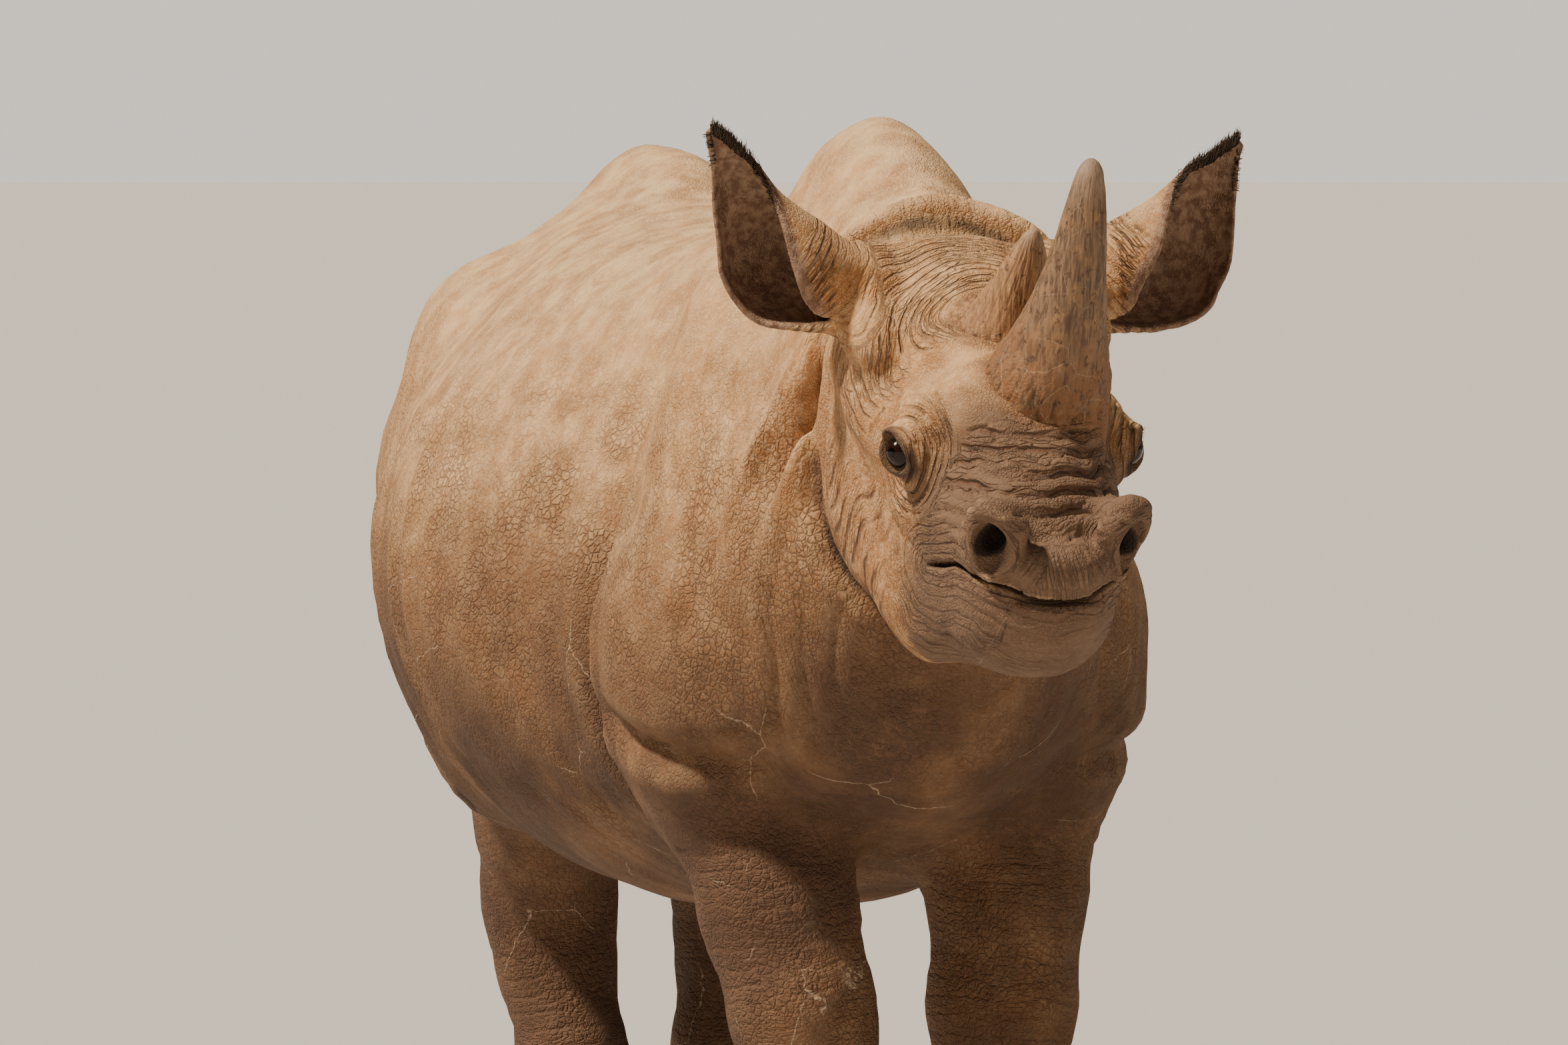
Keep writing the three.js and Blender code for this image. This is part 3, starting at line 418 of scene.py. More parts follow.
def sampled(field):
    """The field on the lattice: one value to a block far from the surface, every value in a block near it."""
    shape = np.array([len(STATIONS), LATTICE[0] + 1, LATTICE[1] + 1])
    value = np.empty(shape, np.float32)
    starts = np.stack(np.meshgrid(*[np.arange(0, n, BLOCK) for n in shape], indexing="ij"), -1).reshape(-1, 3)
    middle = field(placed(np.minimum(starts + BLOCK / 2, shape - 1)))
    size = np.interp(starts[:, 0] + BLOCK / 2, np.arange(len(SIZES)), SIZES)
    far = np.abs(middle) > BLOCK * size * FAR
    for (i, j, k), v in zip(starts[far], middle[far]):
        value[i:i + BLOCK, j:j + BLOCK, k:k + BLOCK] = v
    inside = np.stack(np.meshgrid(*[np.arange(BLOCK)] * 3, indexing="ij"), -1).reshape(-1, 3)
    for some in np.array_split(starts[~far], max(1, (~far).sum() // 300)):
        ijk = (some[:, None] + inside).reshape(-1, 3)
        ijk = ijk[(ijk < shape).all(1)]
        value[tuple(ijk.T)] = field(placed(ijk))
    return value


def net(value):
    """Surface nets: a vertex at the mean crossing of each mixed cell, and a quad round each lattice edge that
    changes sign. Vertices are lattice places."""
    shape = np.array(value.shape)
    low = value < 0
    corners = np.array([(c & 1, c >> 1 & 1, c >> 2 & 1) for c in range(8)])
    count = sum(low[tuple(slice(a, n - 1 + a) for a, n in zip(c, shape))].astype(np.uint8) for c in corners)
    cells = np.argwhere((count > 0) & (count < 8))
    at = np.stack([value[tuple((cells + c).T)] for c in corners])
    total, crossings = np.zeros((len(cells), 3)), np.zeros((len(cells), 1))
    for i in range(8):
        for j in (i | 1, i | 2, i | 4):
            mixed = (at[i] < 0) != (at[j] < 0)
            t = np.where(mixed, at[i] / np.where(mixed, at[i] - at[j], 1), 0)[:, None]
            total += np.where(mixed[:, None], corners[i] + t * (corners[j] - corners[i]), 0)
            crossings += mixed[:, None]
    number = np.full(shape - 1, -1)
    number[tuple(cells.T)] = np.arange(len(cells))
    quads = []
    for axis in range(3):
        here = tuple(slice(0 if n == axis else 1, shape[n] - 1) for n in range(3))
        ahead = tuple(slice(1, shape[n] if n == axis else shape[n] - 1) for n in range(3))
        edge = np.argwhere(low[here] != low[ahead])
        flip = ~low[here][tuple(edge.T)]
        one, two = np.eye(3, dtype=int)[[(axis + 1) % 3, (axis + 2) % 3]]
        edge = edge + one + two
        ring = [number[tuple((edge + step).T)] for step in (-one - two, -two, 0 * one, -one)]
        ring = np.stack(ring, 1)
        ring[flip] = ring[flip][:, ::-1]
        quads.append(ring)
    return cells + total / crossings, np.concatenate(quads)


def gradient(field, p, step):
    """Central differences of the field, each axis in turn, over step mm to either side."""
    return np.array([field(p + e) - field(p - e) for e in np.eye(3)[:, :, None] * step]) / (2 * step)


def onto(field, p, reach, turns=2):
    """Newton's steps along the gradient onto the surface, each no longer than reach."""
    for _ in range(turns):
        slope = gradient(field, p, 0.4)
        steep = np.maximum((slope**2).sum(0), 1e-4)
        p = p - slope * np.clip(field(p) / steep, -reach / np.sqrt(steep), reach / np.sqrt(steep))
    return p


def mean_round(p, triangles):
    """For rows of numbers at the vertices, the mean of each vertex's neighbours."""
    a, b = np.concatenate([triangles[:, [0, 1]], triangles[:, [1, 2]], triangles[:, [2, 0]]]).T
    count = np.bincount(a, minlength=p.shape[1])
    return np.array([np.bincount(a, c[b], p.shape[1]) for c in p]) / np.maximum(count, 1)


def evened(p, triangles, share):
    """Each vertex moved by a share of the way to the mean of its neighbours."""
    return p + (mean_round(p, triangles) - p) * share


def refined(p, triangles, marked):
    """Halves every edge of the marked triangles, and splits each triangle as its halved edges ask."""
    sides = np.sort(np.stack([triangles, np.roll(triangles, -1, 1)], -1), -1)
    key = sides[..., 0] * p.shape[1] + sides[..., 1]
    cut = np.unique(key[marked])
    ends = np.array([cut // p.shape[1], cut % p.shape[1]])
    new = p.shape[1] + np.arange(len(cut))
    p = np.concatenate([p, p[:, ends].mean(1)], 1)
    place = np.minimum(np.searchsorted(cut, key), len(cut) - 1)
    halved = cut[place] == key
    middle = np.where(halved, new[place], -1)
    pattern = halved @ np.array([1, 2, 4])
    out = [triangles[pattern == 0]]
    for turn in range(3):
        t, m = np.roll(triangles, -turn, 1), np.roll(middle, -turn, 1)
        a, b, c = t.T
        ab, bc, ca = m.T
        one = pattern == 1 << turn
        out += [np.stack(f, 1)[one] for f in ((a, ab, c), (ab, b, c))]
        two = pattern == 7 - (1 << (turn + 2) % 3)
        out += [np.stack(f, 1)[two] for f in ((ab, b, bc), (a, ab, bc), (a, bc, c))]
        if turn == 0:
            every = pattern == 7
            out += [np.stack(f, 1)[every] for f in ((a, ab, ca), (ab, b, bc), (ca, bc, c), (ab, bc, ca))]
    return p, np.concatenate(out)


def normals_of(p, triangles):
    """Unit normals at the vertices: the sum of the normals of the triangles round each, weighted by area."""
    a, b, c = (p[:, t] for t in triangles.T)
    face = np.cross(b - a, c - a, axis=0)
    total = np.array([sum(np.bincount(t, f, p.shape[1]) for t in triangles.T) for f in face])
    return total / np.maximum(np.linalg.norm(total, axis=0), 1e-9)


# ---------------------------------------------------------------- lids, nostrils, mouth

EYE_REACH, LID_RADIUS = (26.5, 25), 32  # half-width and half-height of the opening, and the ball of the lids
LID_ANGLES = (math.asin(EYE_REACH[0] / LID_RADIUS), math.asin(EYE_REACH[1] / LID_RADIUS))
UPPER_LID, SLANT = 1.4, 0.22  # how much lower the opening is above than below, and how it falls to the nose
MOUTH = np.array([(436, 126, -150), (468, 117, -130), (506, 108, -104), (548, 95, -90), (584, 70, -84),
                  (606, 36, -88), (614, 0, -93)], float)
MOUTH_FROM, MOUTH_BENDS = 428, 560  # u where the groove runs out, and beyond which its level climbs
FOOT = 92  # from the middle of a foot to the middle of each hoof
TAIL = ((-1380, 0, 1292, 56), (-1440, 0, 1262, 52), (-1484, 0, 1190, 42), (-1504, -6, 1090, 35),
        (-1510, -12, 960, 29), (-1506, -20, 830, 25), (-1496, -26, 720, 20), (-1490, -30, 655, 13))

GAPE, NET_GAPE = 3.5, 7.5  # half-width of the mouth's groove, and of the wider one that the net is drawn over
FINE_EYE, FINEST_EYE, FINEST_NOSE, QUICK_EYE = 92, 36, 38, 50  # how far off eye and nostril it is refined
LIPS_FROM, LIPS_HALF = 436, 12  # u where the refined lips start, and half their width
SNOUT_FROM, SNOUT_LOW, SNOUT_HIGH, SNOUT_TIP = 430, -150, 40, 575  # the same of the snout: u, w, w and u
NET_RIM, FIRST_RIM, LAST_RIM = 18, 9, 7  # thickness of the ears' rims for the net, its first steps and last


def feature_axes(feature, side):
    """The feature's place on that side, and rows x along the face, y across it and z the way it faces."""
    mirror = np.array([1, side, 1])
    z = unit(np.array(feature[1]) * mirror)
    x = unit(np.array([1, 0, 0]) - z * z[0])
    return np.array(feature[0]) * mirror, np.array([x, np.cross(z, x) * side, z])


def facing(feature, q, side):
    """q in the frame of the feature on one side of the face."""
    at, axes = feature_axes(feature, side)
    return axes @ (q - at[:, None])


def nearest(feature, q):
    """Distance to the nearer of the two features."""
    return np.minimum(*[np.linalg.norm(facing(feature, q, side), axis=0) for side in (1, -1)])


def own(feature, q):
    """q in the frame of the feature on its own side of the face."""
    return np.where(q[1] > 0, *[facing(feature, q, side) for side in (1, -1)])


def lip_level(u):
    """w of the line of the mouth."""
    return np.interp(u, MOUTH[:, 0], MOUTH[:, 2])


def groove_level(u):
    """w of the middle of the mouth's groove."""
    return lip_level(u) + 0.1 * np.maximum(u - MOUTH_BENDS, 0)


def opening(x, y, z):
    """1 on the rim of the opening of the eye and 0 at its middle: |(a, b)| of shares across and down."""
    a = np.arctan2(x, z) / LID_ANGLES[0]
    b = np.arctan2(y, np.hypot(x, z)) / LID_ANGLES[1] - SLANT * a
    return np.hypot(a, np.where(b < 0, UPPER_LID * b, b))


def lidded(d, q, side):
    """A ball of skin round the eye, cut by an almond cone that is open from the eyeball outwards."""
    x, y, z = facing(EYE, q, side)
    reach = np.sqrt(x * x + y * y + z * z)
    hood = 6 * window(-y / np.maximum(reach, 1), 0.3, 0.8, 0.25)
    d = smooth_min(d, reach - LID_RADIUS - hood, 14)
    cone = (opening(x, y, z) - 1) * LID_ANGLES[1] * reach
    return smooth_max(d, -np.maximum(cone, EYE_RADIUS - 2 - reach), 4)


def nostril_hole(q, side, grown=0.0):
    """Distance from the deep part of the nostril, a leaning ellipsoid grown by so many mm."""
    x, y, z = facing(NOSTRIL, q, side)
    return ellipsoid(x + 2 + 0.25 * y, y + 5, z + 10, 14 + grown, 25 + grown, 30 + grown, 0)


def snouted(d, q, side):
    """A rim like a drop, thick above and drawn to a point below, round a dish with a deep hole in it."""
    x, y, z = facing(NOSTRIL, q, side)
    broad = 0.74 * np.clip(1 - 0.008 * y, 0.55, 1.3)
    oval = np.hypot((x - 3 - 0.12 * y) / broad, 0.9 * y)
    ring = np.hypot(oval - 38, z * 0.8 + 3) - np.clip(11 - 0.12 * y, 6, 17)
    d = smooth_min(d, ring * 0.8, 14)
    dish = ellipsoid(x + 3 - 0.1 * y, y - 4, z - 3, 21, 38, 19, 0)
    return smooth_max(smooth_max(d, -dish, 8), -nostril_hole(q, side), 6)


def parted(d, q, gape):
    """The groove of the mouth along its line, gape mm to either side, running out at its corners."""
    u, _, w = q
    wide = gape * np.clip((u - MOUTH_FROM) / 30, 0, 1) + 0.1
    groove = np.abs(w - groove_level(u)) - wide
    inner = d + 26 * np.clip((u - MOUTH_FROM) / 60, 0, 1)
    return smooth_max(d, -np.maximum(groove, -inner), 7)


def skin_field(p, ear_rim, gape=GAPE):
    """The flesh with its tail, its lids, nostrils and lips, cut flat at the ground."""
    d = flesh(p, ear_rim)
    near = np.nonzero(p[0] < TAIL_TO)[0]
    if len(near):
        d[near] = smooth_min(d[near], limb(np.array(TAIL), 1, p[:, near]), TAIL_BLEND)
    near = np.nonzero((p[0] > FACE_FROM) & (d < 70))[0]
    if len(near):
        q, face = into_head(p[:, near]), d[near]
        for side in (1, -1):
            face = snouted(lidded(face, q, side), q, side)
        d[near] = parted(face, q, gape)
    return smooth_max(d, 1.5 - p[2], SOLE_BLEND)


def skin_mesh():
    """The net over the lattice, drawn onto the surface and refined on the face, most round eyes and nostrils.
    It starts from thicker ears and a wider mouth than the last steps draw it onto, so that the cells can hold
    them."""
    cells, quads = net(sampled(lambda p: skin_field(p, NET_RIM, NET_GAPE)))
    p = placed(cells)
    triangles = np.concatenate([quads[:, [0, 1, 2]], quads[:, [0, 2, 3]]])
    size = np.interp(p[0], *CELLS.T)
    p = onto(lambda p: skin_field(p, FIRST_RIM), p, size * 0.4)
    p = onto(lambda p: skin_field(p, FIRST_RIM), evened(p, triangles, 0.4), size * 0.4, 1)
    for turn in range(2):
        q = into_head(p)
        eye, nose = nearest(EYE, q), nearest(NOSTRIL, q)
        lips = (q[0] > LIPS_FROM) & (np.abs(q[2] - lip_level(q[0])) < LIPS_HALF)
        if turn == 0:
            snout = (q[0] > SNOUT_FROM) & (q[2] > SNOUT_LOW) & (q[2] < SNOUT_HIGH) | (q[0] > SNOUT_TIP)
            near = (eye < FINE_EYE) | snout | lips
        else:
            near = (eye < FINEST_EYE) | (nose < FINEST_NOSE) | lips & (q[0] < MOUTH_BENDS)
        p, triangles = refined(p, triangles, near[triangles].all(1))
        p = onto(lambda p: skin_field(p, FIRST_RIM), p, 3.0, 1)
    p = evened(p, triangles, 0.5)
    return onto(lambda p: skin_field(p, LAST_RIM), p, 4.0), triangles


# ---------------------------------------------------------------- meshes and materials


def mesh_piece(name, points, faces, slot, look, *nodes, uv=None, **layers):
    """A smooth piece from points in mm, with a look and a float attribute for each layer, in place of the
    nodes of the solids that are named."""
    mesh = bpy.data.meshes.new(name)
    faces = np.asarray(faces, np.int32)
    mesh.vertices.add(points.shape[1])
    mesh.vertices.foreach_set("co", ((points.T + (AHEAD, 0, 0)) * MM).astype(np.float32).ravel())
    mesh.loops.add(faces.size)
    mesh.loops.foreach_set("vertex_index", faces.ravel())
    mesh.polygons.add(len(faces))
    mesh.polygons.foreach_set("loop_start", np.arange(len(faces), dtype=np.int32) * faces.shape[1])
    mesh.update(calc_edges=True)
    mesh.shade_smooth()
    mesh.materials.append(look)
    if uv is not None:
        mesh.uv_layers.new(name="OFBake").data.foreach_set("uv", uv[faces.ravel()].astype(np.float32).ravel())
    for layer, value in layers.items():
        mesh.attributes.new(layer, "FLOAT", "POINT").data.foreach_set("value", value.astype(np.float32))
    piece = bpy.data.objects.new(name, mesh)
    bpy.context.scene.collection.objects.link(piece)
    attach(piece, "root")
    if nodes:
        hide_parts(*nodes)


def linear(code):
    """An sRGB hex colour as linear red, green, blue and alpha."""
    parts = [int(code[i:i + 2], 16) / 255 for i in (0, 2, 4)]
    return [c / 12.92 if c <= 0.04045 else ((c + 0.055) / 1.055) ** 2.4 for c in parts] + [1]


class Material:
    """A material and a way to add nodes to it."""

    def __init__(self, name, **sockets):
        self.material = bpy.data.materials.new(name)
        self.material.use_nodes = True
        self.tree = self.material.node_tree
        self.shader = self.tree.nodes["Principled BSDF"]
        for socket, value in sockets.items():
            self.shader.inputs[socket.replace("_", " ")].default_value = value

    def add(self, kind, out=0, settings=None, **inputs):
        """Adds a node, its inputs values or other nodes' outputs, and returns its output."""
        node = self.tree.nodes.new(kind)
        for key, value in (settings or {}).items():
            setattr(node, key, value)
        for key, value in inputs.items():
            key = key.replace("_", " ")
            socket = node.inputs[int(key[1:])] if key[0] == "i" and key[1:].isdigit() else node.inputs[key]
            if isinstance(value, bpy.types.NodeSocket):
                self.tree.links.new(value, socket)
            else:
                socket.default_value = value
        return node.outputs[out]

    def set(self, socket, value):
        self.tree.links.new(value, self.shader.inputs[socket])

    def math(self, operation, a, b):
        return self.add("ShaderNodeMath", settings={"operation": operation}, i0=a, i1=b)

    def between(self, value, low, high, to_low=0.0, to_high=1.0):
        """value, carried smoothly from low..high to to_low..to_high and held beyond them."""
        return self.add("ShaderNodeMapRange", settings={"interpolation_type": "SMOOTHSTEP"}, Value=value,
                        From_Min=low, From_Max=high, To_Min=to_low, To_Max=to_high)

    def plus(self, a, share, b, kind="ShaderNodeMath"):
        """a times share plus b, of numbers or of vectors."""
        return self.add(kind, settings={"operation": "MULTIPLY_ADD"}, i0=a, i1=share, i2=b)

    def times(self, a, b):
        return self.math("MULTIPLY", a, b)

    def most(self, a, b):
        return self.math("MAXIMUM", a, b)

    def patches(self, size_mm, low, high, to_low=0.0, to_high=1.0, **noise):
        """Noise about size_mm across, carried smoothly from low..high to to_low..to_high."""
        return self.between(self.noise(size_mm, **noise), low, high, to_low, to_high)

    def mix(self, factor, a, b):
        """Colour a turned towards colour b by factor."""
        return self.add("ShaderNodeMix", 2, {"data_type": "RGBA"}, Factor=factor, i6=a, i7=b)

    def toned(self, size_mm, low, high, dark, light, **noise):
        """Two hex colours in patches about size_mm across."""
        return self.mix(self.patches(size_mm, low, high, **noise), linear(dark), linear(light))

    def bump(self, height, distance, strength):
        self.set("Normal", self.add("ShaderNodeBump", Height=height, Distance=distance, Strength=strength))

    def read(self, layer):
        return self.add("ShaderNodeAttribute", 2, {"attribute_name": layer})

    def where(self, scale=(1, 1, 1), offset=(0, 0, 0)):
        at = self.add("ShaderNodeTexCoord", 3)
        return self.add("ShaderNodeMapping", Vector=at, Scale=scale, Location=offset)

    def noise(self, size_mm, at=None, detail=3.0, rough=0.55):
        return self.add("ShaderNodeTexNoise", Vector=at or self.where(), Scale=1000 / size_mm, Detail=detail,
                        Roughness=rough)

    def cracks(self, size_mm, low, high, to_low=1.0, to_high=0.0, at=None):
        """Distance to the nearest edge between cells about size_mm across, carried to to_low..to_high."""
        edge = self.add("ShaderNodeTexVoronoi", 0, {"feature": "DISTANCE_TO_EDGE"}, Vector=at or self.where(),
                        Scale=1000 / size_mm)
        return self.between(edge, low, high, to_low, to_high)


# ---------------------------------------------------------------- wrinkles


def wobble(p, size, seed):
    """Smooth noise from about -1 to 1: the sum of eight plane waves of about that length in mm."""
    dice = np.random.default_rng(seed)
    waves = np.array([unit(k) for k in dice.normal(size=(8, 3))]) * (2 * np.pi / size)
    waves *= dice.uniform(0.7, 1.5, (8, 1))
    return np.sin(waves @ p + dice.uniform(0, 6.3, (8, 1))).sum(0) / 4


def window(x, low, high, soft):
    """1 from low to high, falling smoothly to 0 over soft to either side."""
    t = np.clip(np.minimum(x - low, high - x) / soft + 1, 0, 1)
    return t * t * (3 - 2 * t)


def ridges(across, spacing, sharp=0.55):
    """Round ridges with sharp valleys, from -0.7 to 0.3: |sin(pi across / spacing)| to the power sharp."""
    return np.abs(np.sin(np.pi * across / spacing)) ** sharp - 0.7


def line_reach(line, q):
    """Distance of each point from a chain of points, on whichever side it lies."""
    p = np.array([q[0], np.abs(q[1]), q[2]])
    reach = np.full(p.shape[1], 1e9)
    for a, b in zip(line[:-1], line[1:]):
        t = np.clip(((b - a) @ (p - a[:, None])) / ((b - a) @ (b - a)), 0, 1)
        reach = np.minimum(reach, np.linalg.norm(p - a[:, None] - (b - a)[:, None] * t, axis=0))
    return reach


def head_wrinkles(p, q):
    """Groups of wrinkles on the head: share of each, distance across them, spacing of the folds, their height
    and the spacing of the fine lines, all in mm."""
    u, v, w = q
    out = np.abs(v)
    x, y, z = own(EYE, q)
    ring = np.hypot(x, 0.94 * (y - 3)) + 2 * wobble(p, 90, 1)
    rear = np.clip(1.1 + x / 45, 0.1, 1) * np.where(y < 0, 0.75, 1)
    mouth = line_reach(MOUTH, q) + 4 * wobble(p, 90, 2)
    arc = np.linalg.norm([u - 188, 0.95 * v, 0.8 * (w - 50)], axis=0) + 6 * wobble(p, 120, 3)
    nose = 0.53 * u - 0.85 * w + 0.12 * out + 7 * wobble(p, 80, 4) + 2 * wobble(p, 34, 17)
    nostril = np.linalg.norm(own(NOSTRIL, q), axis=0) + 2 * wobble(p, 60, 14)
    jaw = 0.85 * u - 0.5 * w + 8 * wobble(p, 120, 5)
    a = unit(np.array(EAR_TIPS["left"]) - EAR_ROOT)
    ear = a @ np.array([u - EAR_ROOT[0], out - EAR_ROOT[1], w - EAR_ROOT[2]]) + 2 * wobble(p, 60, 6)
    clear = np.clip((nostril - 44) / 12, 0, 1)
    lower = w < lip_level(u)
    round_eye = window(ring, 34, 84, 16) * window(z, -60, 40, 20) * rear * (u < 446)
    upper_lip = window(mouth, 9, 66, 36) * window(w, -330, 0, 40) * window(u, 340, 600, 50) * clear * ~lower
    lower_lip = window(mouth, 9, 40, 30) * window(u, 380, 720, 60) * lower
    chin = 0.8 * window(mouth, 50, 160, 30) * window(u, 330, 720, 60) * lower
    forehead = window(arc, 74, 330, 30) * window(u, -150, 215, 40) * window(w, -150, 200, 60) * (out < 190)
    bridge = window(u, 436, 596, 20) * window(w, -60, 200, 26) * clear * (u < 606)
    front = window(u, 590, 700, 16) * window(w, -150, 40, 30) * (out < 62)
    return (
        (round_eye, ring, 12.5, 5.6, 5),
        (upper_lip, mouth, 14, 3.4, 6),
        (lower_lip, mouth, 15, 2.6, 6),
        (chin, mouth + 5 * wobble(p, 50, 18), 17, 2.2, 6),
        (forehead, arc, 13, 2.0, 6),
        (bridge, nose, 25, 7.4, 7),
        (window(nostril, 46, 68, 16) * (w > -90), nostril, 15, 2.6, 7),
        (front, 1.15 * v + 0.12 * w + 2 * wobble(p, 50, 15), 12, 1.1, 6),
        (window(u, 0, 330, 60) * window(w, -430, -170, 60), jaw, 30, 2.6, 9),
        (window(ear, 6, 110, 20) * window(out, 134, 290, 24) * 1.2, ear, 12, 2.4, 6),
    )


def body_wrinkles(p):
    """Groups of wrinkles on the rest, in the same form."""
    x, y, z = p
    neck = 0.92 * x - 0.42 * z + 16 * wobble(p, 260, 7)
    nape = 150 * np.arctan2(y, z - 1310) + 3 * wobble(p, 60, 16)
    ribs = x + 0.28 * (z - 900) + 14 * wobble(p, 300, 8)
    level = z + 0.1 * np.abs(y) + 8 * wobble(p, 140, 9)
    legs = window(z, 0, 700, 70)
    rump = x * 0.8 + z * 0.5 + 16 * wobble(p, 260, 10)
    arm = 0.9 * x + 0.35 * z + 14 * wobble(p, 200, 11)
    low = window(z, -100, 1330, 80)
    return (
        (window(x, 640, 1020, 90) * low * window(z, 760, 1700, 80), neck, 46, 5.4, 10),
        (window(x, 760, 1020, 60) * window(z, 1380, 1700, 50), nape, 19, 1.0, 14),
        (0.8 * window(x, -620, 180, 120) * window(z, 560, 1400, 120), ribs, 78, 4.0, 14),
        (legs * window(x, 200, 900, 80), level, 26, 3.0, 9),
        (legs * window(x, -1300, -700, 80), level, 28, 3.0, 9),
        (0.7 * window(x, -1400, -700, 160) * window(z, 700, 1600, 100), rump, 90, 3.0, 14),
        (0.8 * window(x, 150, 640, 100) * window(z, 700, 1240, 90), arm, 44, 2.6, 10),
    )


def strongest(groups):
    """Of groups (share, phase), the phase of the strongest at each point, and its lead over the next."""
    shares, phases = (np.array([g[n] for g in groups]) for n in (0, 1))
    first = shares.argmax(0)
    lead = np.take_along_axis(shares, first[None], 0)[0]
    rest = shares.copy()
    np.put_along_axis(rest, first[None], 0, 0)
    return np.take_along_axis(phases, first[None], 0)[0], np.clip(lead - rest.max(0), 0, 1)


def relief(p, q):
    """Height of the wrinkles in mm; the phase of the folds and of the fine lines, and how strong each is."""
    on_head = window(p[0], 985, 2000, 60)
    groups = [(share * on_head, *rest) for share, *rest in head_wrinkles(p, q)]
    groups += [(share * (1 - on_head), *rest) for share, *rest in body_wrinkles(p)]
    height = (2.4 - 1.6 * on_head) * wobble(p, 210, 12) + 0.8 * wobble(p, 70, 13)
    ribs = p[0] + 0.35 * (p[2] - 900) + 12 * wobble(p, 320, 8)
    barrel = window(p[0], -560, 120, 140) * window(p[2], 720, 1330, 130) * (np.abs(p[1]) > 100)
    height = height + 2.6 * barrel * (1 + 0.5 * wobble(p, 200, 19)) * np.sin(2 * np.pi * ribs / 96)
    for share, away, spacing, high, _ in groups:
        patch = np.clip(0.85 + 0.35 * wobble(p, 150, int(spacing * 7)), 0.3, 1.2)
        height = height + share * high * patch * ridges(away, spacing)
    fold, folded_by = strongest([(g[0] * min(g[3] / 3, 1), g[1] / g[2]) for g in groups])
    fine, fine_by = strongest([(g[0], g[1] / g[4]) for g in groups])
    return height, fold, folded_by * (0.25 + 0.75 * on_head), fine, fine_by * (0.4 + 0.6 * on_head)


def creases(p):
    """1 along the bottom of each deep fold and in the corner of head and neck, falling to 0 beside them:
    painted shade.
    """
    deep = np.zeros(p.shape[1])
    for fold in FOLDS:
        t, off = fold_place(fold, p)
        deep = np.maximum(deep, min(fold[3] / 44, 0.75) * (1 - off) * np.exp(-((2.2 * t) ** 2)))
    near = np.nonzero(p[0] > HEAD_FROM)[0]
    head, neck = head_and_neck(into_head(p[:, near]), body_field(p[:, near]))
    deep[near] = np.maximum(deep[near], np.exp(-((head / 15) ** 2) - (neck / 15) ** 2))
    return deep


def hollows(p, triangles, normals):
    """How far each vertex lies under its neighbours' mean, smoothed, and evened over the cells' sizes; for
    painted shade and highlight.
    """
    deep = ((mean_round(p, triangles) - p) * normals).sum(0)
    for _ in range(2):
        deep = 0.5 * deep + 0.5 * mean_round(deep[None], triangles)[0]
    return deep * (FACE_CELL / np.interp(p[0], *CELLS.T)) ** 1.4


def ear_layers(q, normals):
    """1 on the leaves of the ears, and 1 on the inner side of each and its bare rim."""
    leaf, inner = np.zeros((2, q.shape[1]))
    for side in EAR_TIPS:
        root, length, a, o, out = ear_frame(side)
        share, held, radius, half, along, across = ear_place(q, side)
        on_leaf = window(-ear_field(q, side, 14), -6, 90, 6)
        leaf = np.maximum(leaf, on_leaf * np.clip(share * 8 - 1, 0, 1))
        shift = ear_section(side, held)[0]
        hub = root[:, None] + a[:, None] * (share * length) + out[:, None] * shift + o[:, None] * 0.3 * radius
        inwards = ((HEAD_AXES.T @ normals) * (hub - q)).sum(0) / np.linalg.norm(hub - q, axis=0)
        edge = window(radius * (np.arctan2(across, along) - half), -9, 90, 8) * window(share, 0.2, 1.2, 0.1)
        cup = window(share, 0.08, 1.2, 0.06) * (inwards > -0.3)
        inner = np.maximum(inner, on_leaf * np.maximum(cup, edge))
    return leaf, inner


def face_layers(p, q, eye):
    """1 on the wet rims of the lids; 1 in nostrils and mouth, for painted shade; and 1 at the feet of the
    horns.
    """
    rim, hole, boss = np.zeros((3, p.shape[1]))
    for side in (1, -1):
        x, y, z = facing(EYE, q, side)
        rim = np.maximum(rim, window(opening(x, y, z), -1, 1.1, 0.45) * (z > 0) * (eye < 50))
        hole = np.maximum(hole, window(nostril_hole(q, side, 4), -100, 0, 5))
    for (u, v, _), rings in (FRONT_HORN, REAR_HORN):
        foot = np.hypot((q[0] - u) / rings[0, 3], (q[1] - v) / rings[0, 4])
        boss = np.maximum(boss, window(foot, -1, 1.02, 0.3) * (q[2] > 0) * (p[0] > 1000))
    # a dark line along the mouth's groove: painted shade
    line = window(np.abs(q[2] - groove_level(q[0])), -1, 1.5, 3) * window(q[0], 440, 700, 14)
    return rim, np.maximum(hole, 0.8 * line * (p[0] > 1200)), boss


